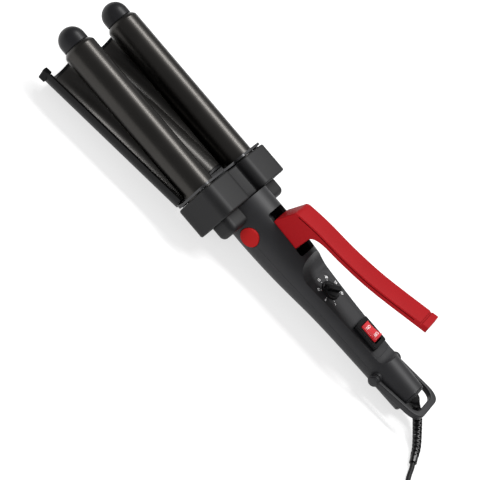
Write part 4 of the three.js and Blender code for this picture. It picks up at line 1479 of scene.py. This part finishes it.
@dataclass
class Tail:
    """Tail cap, hanging loop with its rivets, hinge caps and the ribbed cord sleeve."""

    back: float = 149.0
    radius: float = 12.1
    cap_gap: float = 0.3
    cap_wall: float = 2.7
    cap_bore: float = 4.5
    cap_depth: float = 4.0
    cap_round: tuple[Point2, ...] = ((0.0, 0.0), (1.0, 0.2), (1.5, 0.7), (1.8, 1.4))
    loop_x: float = 125.0
    loop_half: float = 17.6
    loop_reach: float = 40.0
    band: float = 3.0
    bar: float = 4.6
    turns: Point2 = (10.0, 8.0)
    turn_draw: Point2 = (2.0, 1.2)
    height: float = 4.6
    loop_edge: float = 0.8
    eye: float = 4.2
    eye_soft: float = 0.5
    gap: float = 0.3
    rivet: float = 1.6
    rivet_depth: float = 4.0
    rivet_inset: float = 0.6
    rivet_dome: float = 1.1
    hinge_inner: float = 17.0
    hinge_face: float = 19.5
    hinge_radius: float = 7.0
    hinge_side: float = 0.9
    hinge_round: Point2 = (0.5, 0.8)
    hinge_crown: tuple[Point2, ...] = ((0.28, 2.0), (0.1, 4.0))
    face: float = 151.1
    flange: tuple[Point3, ...] = (
        (-8.7, 6.5, 0), (-6.2, 6.5, 0), (-6.1, 4.2, 0), (0.2, 4.2, 0), (0.3, 6.1, 0), (0.7, 6.4, 0),
        (3, 5.6, 0), (5.5, 3.9, -0.5))
    sleeve_line: tuple[Point3, ...] = (
        (7.5, 0, -1.3), (12.5, -3, -3), (19.5, -12, -4.4), (25.5, -21, -5.4), (28.5, -28, -6.1))
    sleeve: float = 3.3
    sleeve_end: float = 2.6
    end_steps: int = 8
    rib_turn: float = 1.5
    rib_run: float = 0.95
    rib_share: float = 0.76
    rib_slope: float = 7.0
    rib_depth: float = 0.85
    rib_height: float = 1.05

    def build(self, look: Palette) -> None:
        """Makes the pieces of the tail and both hinge caps.

        Args:
            look: the materials.
        """
        settle(self._cap(), look.plastic, ["tail_cap"])
        pin = (self.loop_x, 0, 0)
        where = LAY.turned(pin, -LAY.loop_tilt, Axis.Y)
        settle(self._loop(), look.plastic, ["hanging_loop"], where, Body.LOOP)
        settle(self._sleeve(), look.sleeve, ["cord_sleeve"])
        for side in Side:
            rivet, cap = self._rivet(side), self._hinge_cap(side)
            settle(rivet, look.plastic, [f"loop_rivet_{side.word}"], LAY.turned(pin))
            settle(cap, look.cap, [f"hinge_cap_{side.word}"])

    def _cap(self) -> Object:
        """Makes the tail cap with the bore for the cord's sleeve.

        Returns:
            The cap in the tool's frame.
        """
        inner, face = self.radius - self.cap_wall, self.back + self.cap_gap
        front, bore = face - self.cap_depth, self.cap_bore
        profile = [(front, bore), (front, inner), (face, inner)]
        profile += [(face + place, self.radius - inset) for place, inset in self.cap_round]
        profile += [(profile[-1][0], bore), (front, bore)]
        return lathe("TailCap", profile, Axis.X)

    def _bow(self, reach: float, half: float, turn: float) -> list[Point2]:
        """Finds one half of an edge of the loop, from its far bar to its eye.

        Args:
            reach: how far the bar lies from the eye.
            half: half the width between the eyes.
            turn: size of the corner.

        Returns:
            The points as x and y.
        """
        draw, taper = self.turn_draw
        start = (reach, half - turn)
        corner = quadratic(start, (reach, half - draw), (reach - turn, half - taper), 12)
        return [start, *corner, (0, half)]

    def _loop(self) -> Object:
        """Makes the hanging loop with its two eyes.

        Returns:
            The loop about its rivets.
        """
        w, inside = self.loop_half, self.loop_half - self.band
        outer = self._bow(self.loop_reach, w, self.turns[0])
        inner = self._bow(self.loop_reach - self.bar, inside, self.turns[1])
        outline = [(x, -y) for x, y in reversed(outer)] + outer
        outline += list(reversed(inner)) + [(x, -y) for x, y in inner]
        half = self.height / 2
        made = prism("HangingLoop", outline, -half, half, Axis.Z, self.loop_edge)
        for side in reversed(Side):
            eye = rod("Eye", Axis.Y, side.value * w, side.value * inside, self.eye, 64)
            join(made, softened(eye, self.eye_soft, 60, 3))
        return cut(made, rod("Bore", Axis.Y, -w - BEYOND, w + BEYOND, self.rivet + self.gap, 32))

    def _rivet(self, side: Side) -> Object:
        """Makes one domed rivet of the loop.

        Args:
            side: side of the tool.

        Returns:
            The rivet about the loop's axis.
        """
        deep, face = self.loop_half - self.band - self.rivet_depth, self.loop_half + self.gap
        head = self.eye - self.rivet_inset
        profile = [(deep, 0), (deep, self.rivet), (face, self.rivet), (face, head)]
        profile += arc(face + self.gap, 0, self.rivet_dome, 90, 0, 8, head)
        line = [(side.value * place, radius) for place, radius in profile]
        return lathe(f"LoopRivet_{side.word}", line, Axis.Y, 64)

    def _hinge_cap(self, side: Side) -> Object:
        """Makes one cap of the hinge pin, with a round edge and a slight crown.

        Args:
            side: side of the tool.

        Returns:
            The cap in the tool's frame.
        """
        face, r, (wide, tall) = self.hinge_face, self.hinge_radius, self.hinge_round
        brim = face - self.hinge_side
        profile = [(self.hinge_inner, 0), (self.hinge_inner, r)]
        profile += arc(brim, r - tall, wide, 90, 0, 8, tall)
        profile += [(face - drop, r - inset) for drop, inset in self.hinge_crown] + [(face, 0)]
        line = [(side.value * place, radius) for place, radius in profile]
        return lathe(f"HingeCap_{side.word}", line, Axis.Y)

    def _sleeve(self) -> Object:
        """Makes the cord sleeve: a flange in the cap, criss-cross ribs and a plain end.

        Returns:
            The sleeve in the tool's frame.
        """
        line = catmull([(self.face + x, y, z) for x, y, z in self.sleeve_line], 36, True)
        last, aim = Vector(line[-1]), (Vector(line[-1]) - Vector(line[-2])).normalized()
        step = 2 * self.sleeve_end / self.end_steps
        end = [tuple(last + aim * (step * i)) for i in range(1, self.end_steps + 1)]
        path = [(self.face + x, 0.0, z) for x, _, z in self.flange] + line + end
        head, total = len(self.flange), len(path) - 1

        def radius(i: int, angle: float, run: float) -> float:
            """Finds the radius of the sleeve.

            Args:
                i: number of the point on the path.
                angle: angle round the path.
                run: distance run.

            Returns:
                The radius there, higher on the ribs.
            """
            if i < head:
                return self.flange[i][1]
            plain = self.sleeve + (self.sleeve_end - self.sleeve) * (i - head) / (total - head)
            if i > total - self.end_steps:
                return plain
            a, b = self.rib_turn * angle, self.rib_run * run
            weave = max(abs(math.cos(a + b)), abs(math.cos(a - b)))
            rise = min(1.0, max(0.0, (weave - self.rib_share) * self.rib_slope))
            return plain - self.rib_depth + self.rib_height * rise

        return tube("CordSleeve", path, radius, 48)


@dataclass
class CordSet:
    """Cord from the sleeve to the coil and on to the plug, in the row frame."""

    diameter: float = 3.4
    exit: Point3 = (180.2981, -33.0342, 2.8737)
    exit_aim: Point3 = (0.383024, -0.915302, -0.124554)
    layers: int = 4
    turns: int = 3
    pitch: float = 4.0
    inner: float = 16.0
    centre: Point2 = (246.0, -33.0)
    base: float = 2.9
    start_turn: float = 0.25
    climb: float = 0.25
    between: tuple[Point3, ...] = (
        (185.2, -47.5, 1.8), (192.5, -57.3, 1.8), (204.2, -61, 1.9), (226, -61, 2.3))
    to_plug: tuple[Point3, ...] = ((264, -60, 12.9), (277, -55.5, 8.6))
    per_turn: int = 36
    tie_half: float = 2.5
    tie_gap: float = 0.3
    tie_wall: float = 0.9
    tie_corners: Point2 = (1.4, 0.6)
    tie_soft: float = 0.2
    plug: Point3 = (292.7, -53.0, 6.25)
    plug_gap: float = 0.3
    plug_half: Point2 = (10.0, 6.25)
    plug_corner: float = 3.0
    plug_edge: float = 1.4
    body: float = 24.0
    relief: float = 13.0
    relief_root: float = 1.0
    relief_radius: float = 5.0
    relief_taper: float = 2.4
    relief_end: float = 2.4
    ribs: int = 12
    rib: tuple[Point2, ...] = ((0.0, 0.0), (0.7, 0.0), (0.72, 0.5), (1.06, 0.5))
    blade_y: float = 6.35
    blade_half: Point2 = (1.05, 3.45)
    blade_depth: float = 4.3

    def _coil_point(self, turn: float) -> Vector:
        """Finds one point of the wound cord.

        Args:
            turn: turns since the coil's start.

        Returns:
            The place in the row frame, in millimetres.
        """
        layer = min(int(turn // self.turns), self.layers - 1)
        share = turn / self.turns - layer
        share = share if layer % 2 == 0 else 1 - share
        radius = self.inner + (1 - share) * self.turns * self.pitch
        nearest = math.floor(turn / self.turns + 0.5)
        past = turn - nearest * self.turns
        height = float(layer)
        if 0 < nearest < self.layers and abs(past) < self.climb:
            height = nearest - 0.5 + past / (2 * self.climb)
        a = 2 * math.pi * (turn - self.start_turn)
        x, y = self.centre[0] + radius * math.cos(a), self.centre[1] + radius * math.sin(a)
        return Vector((x, y, self.base + height * self.pitch))

    def path(self) -> list[Vector]:
        """Finds the whole centreline.

        Returns:
            Its points from the sleeve to the plug, in millimetres in the row frame.
        """
        count, step = self.layers * self.turns * self.per_turn, self.diameter
        loops = [self._coil_point(i / self.per_turn) for i in range(count + 1)]
        into, out = (loops[1] - loops[0]).normalized(), (loops[-1] - loops[-2]).normalized()
        start, aim, plug = Vector(self.exit), Vector(self.exit_aim).normalized(), Vector(self.plug)
        run = [start + aim * step, *self.between, loops[0] - into * 2 * step]
        rest = [loops[-1] + out * 2 * step, *self.to_plug, plug - Vector((step, 0, 0))]
        found = [start, *map(Vector, catmull(run, 8, True)), loops[0] - into * step]
        found += loops + [loops[-1] + out * step]
        return found + [*map(Vector, catmull(rest, 8, True)), plug]

    def build(self, look: Palette) -> None:
        """Args:
            look: the materials.
        """
        path = [p * MM for p in self.path()]
        cord = linked("Cord", self._curve(path, look.rubber))
        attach(cord, Body.HANDLE.value)
        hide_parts("cord", "cord_coil", "cord_to_plug")
        row = Matrix.Scale(MM, 4)
        tie = settle(self._tie(), look.rubber, ["coil_tie"], row)
        plug = settle(self._plug(), look.rubber, ["plug_body"], row)

    def _curve(self, path: Sequence[Vector], material: Material) -> bpy.types.Curve:
        """Makes the round curve of the cord.

        Args:
            path: its centreline in metres.
            material: its finish.

        Returns:
            The curve.
        """
        data = bpy.data.curves.new("Cord", "CURVE")
        data.dimensions = "3D"
        spline = data.splines.new("POLY")
        spline.points.add(len(path) - 1)
        for point, place in zip(spline.points, path):
            point.co = (*place, 1.0)
        data.bevel_depth = self.diameter / 2 * MM
        data.bevel_resolution = 3
        data.use_fill_caps = True
        data.materials.append(material)
        return data

    def _tie(self) -> Object:
        """Makes the tie round the wound cord.

        Returns:
            The tie in the row frame, in millimetres.
        """
        slack = self.diameter / 2 + self.tie_gap
        inner, outer = self.inner - slack, self.inner + self.turns * self.pitch + slack
        low, high = self.base - slack, self.base + (self.layers - 1) * self.pitch + slack
        at = (-(inner + outer) / 2, (low + high) / 2)
        wide, tall, wall = (outer - inner) / 2, (high - low) / 2, self.tie_wall
        outline = rounded(*at, wide + wall, tall + wall, self.tie_corners[0])
        made = prism("CoilTie", outline, -self.tie_half, self.tie_half, Axis.Y)
        room, reach = rounded(*at, wide, tall, self.tie_corners[1]), self.tie_half + BEYOND
        softened(cut(made, prism("Room", room, -reach, reach, Axis.Y)), self.tie_soft)
        made.data.transform(Matrix.Translation((*self.centre, 0)))
        return made

    def _plug(self) -> Object:
        """Makes the plug's body with its ribbed relief and the slots of its blades.

        Returns:
            The plug in the row frame, in millimetres.
        """
        outline = rounded(0, 0, *self.plug_half, self.plug_corner)
        made = prism("PlugBody", outline, 0, self.body, Axis.X, self.plug_edge)
        root, thick = self.relief_root, self.relief_radius
        profile = [(root, 0), (root, thick), (0, thick)]
        for i in range(self.ribs):
            share = i / self.ribs
            place, wide = -self.relief * share, thick - self.relief_taper * share
            profile += [(place - back, wide - inset) for back, inset in self.rib]
        profile += [(-self.relief, self.relief_end), (-self.relief, 0)]
        join(made, lathe("Relief", profile, Axis.X, 48))
        wide, tall = self.blade_half
        floor, face = self.body - self.blade_depth, self.body + BEYOND
        for side in reversed(Side):
            y = side.value * self.blade_y
            slot = oblong(y - wide, -tall, y + wide, tall)
            cut(made, prism("BladeSlot", slot, floor, face, Axis.X))
        x, y, z = self.plug
        made.data.transform(Matrix.Translation((x + self.relief + self.plug_gap, y, z)))
        return made


@dataclass(frozen=True)
class Lamp:
    """One soft area light that points at the object.

    Attributes:
        name: name of the light.
        place: where it stands, in metres.
        size: width and height.
        power: power in watts.
        glossy: whether its face shows in reflections.
        aim: the place that it points at.
    """

    name: str
    place: Point3
    size: Point2
    power: float
    glossy: bool = True
    aim: Point3 = (0.0, 0.0, 0.03)

    def build(self) -> None:
        """Makes the light."""
        data = bpy.data.lights.new(self.name, "AREA")
        data.shape = "RECTANGLE"
        data.size, data.size_y = self.size
        data.energy = self.power
        made = linked(self.name, data)
        made.location = self.place
        made.rotation_mode = "QUATERNION"
        made.rotation_quaternion = (Vector(self.aim) - Vector(self.place)).to_track_quat("-Z", "Y")
        made.visible_glossy = self.glossy


@dataclass
class Studio:
    """Camera, lights, floor and background.

    Attributes:
        pixels: width of the photograph.
        focal: distance of the image plane, in those pixels.
        distance: from the camera to what it aims at, in millimetres.
        view_roll: how far above the tool's side the camera stands, in degrees.
        target: what it aims at, along the tool and across the view.
        image_turn: cosine and sine of the tool's slant in the picture.
        sensor: width of the sensor, in millimetres.
        clip: nearest and farthest place that it sees, in metres.
        floor_half: half the floor's width, in metres.
        floor_level: height of the floor.
        sky: colour of the world's light.
        sky_strength: its strength.
        lamps: the lights.
    """

    pixels: float = 480.0
    focal: float = 1720.0
    distance: float = 1147.0
    view_roll: float = 40.0
    target: Point2 = (-2.93, -17.7)
    image_turn: Point2 = (0.64812, 0.76154)
    sensor: float = 36.0
    clip: Point2 = (0.05, 20.0)
    floor_half: float = 30.0
    floor_level: float = -0.0005
    sky: tuple[float, float, float, float] = (0.95, 0.95, 0.96, 1.0)
    sky_strength: float = 0.36
    lamps: tuple[Lamp, ...] = (
        Lamp("Key", (0.0, 0.43, 1.12), (1.3, 0.27), 20.5),
        Lamp("Fill", (-0.1, -1.4, 0.5), (1.6, 0.8), 21.0, glossy=False),
    )

    def camera(self) -> None:
        """Makes the camera at the photograph's viewing angle."""
        roll, (c, s) = math.radians(self.view_roll), self.image_turn
        back = Vector((0, -math.cos(roll), math.sin(roll)))
        across = Vector((0, math.sin(roll), math.cos(roll)))
        along = Vector((1, 0, 0))
        right, up = along * c + across * s, along * -s + across * c
        target = along * self.target[0] + across * self.target[1]
        turn = Matrix.Rotation(LAY.dip, 3, "Y")
        axes = Matrix((turn @ right, turn @ up, turn @ back)).transposed().to_4x4()
        data = bpy.data.cameras.new("Camera")
        data.sensor_width = self.sensor
        data.lens = self.focal / self.pixels * self.sensor
        data.clip_start, data.clip_end = self.clip
        made = linked("Camera", data)
        made.matrix_world = Matrix.Translation(LAY.tool() @ (target + back * self.distance)) @ axes
        bpy.context.scene.camera = made

    def build(self, look: Palette) -> None:
        """Makes the floor, the lights and the pale background.

        Args:
            look: the materials.
        """
        half = self.floor_half
        corners = [(x, y, self.floor_level) for x, y in oblong(-half, -half, half, half)]
        floor = mesh_object("Floor", corners, [(0, 1, 2, 3)])
        floor.data.materials.append(look.floor)
        for lamp in self.lamps:
            lamp.build()
        world = bpy.data.worlds.new("Pale")
        world.use_nodes = True
        sky = world.node_tree.nodes["Background"]
        sky.inputs["Color"].default_value = self.sky
        sky.inputs["Strength"].default_value = self.sky_strength
        scene = bpy.context.scene
        scene.world = world
        scene.view_settings.view_transform = "Standard"


def dress_frame(look: Palette) -> None:
    """Gives each CAD node that stays its finish.

    Args:
        look: the materials.
    """
    for material, names in (
        (look.steel, ("hinge_pin", "clamp_spring", "dial_potentiometer", "handle_screw_front",
                      "handle_screw_rear")),
        (look.aluminium, ("barrel_heater_left", "barrel_heater_right", "ridge_heater")),
        (look.plastic, ("clamp_arm",)),
        (look.rubber, ("clamp_foot",)),
        (look.brass, ("plug_blade_left", "plug_blade_right")),
        (look.board, ("control_board",)),
    ):
        for name in names:
            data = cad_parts[name].data
            data.materials.clear()
            data.materials.append(material)
            LOG.info("%s: CAD solid", name)


def main() -> None:
    """Builds the whole scene."""
    logging.basicConfig(level=logging.INFO, format="%(name)s: %(message)s")
    look, studio = Palette(), Studio()
    studio.camera()
    for part in (CordSet(), Barrels(), Head(), Handle(), Controls(), Clamp(), Tail()):
        part.build(look)
    dress_frame(look)
    studio.build(look)


if __name__ == "__main__":
    main()
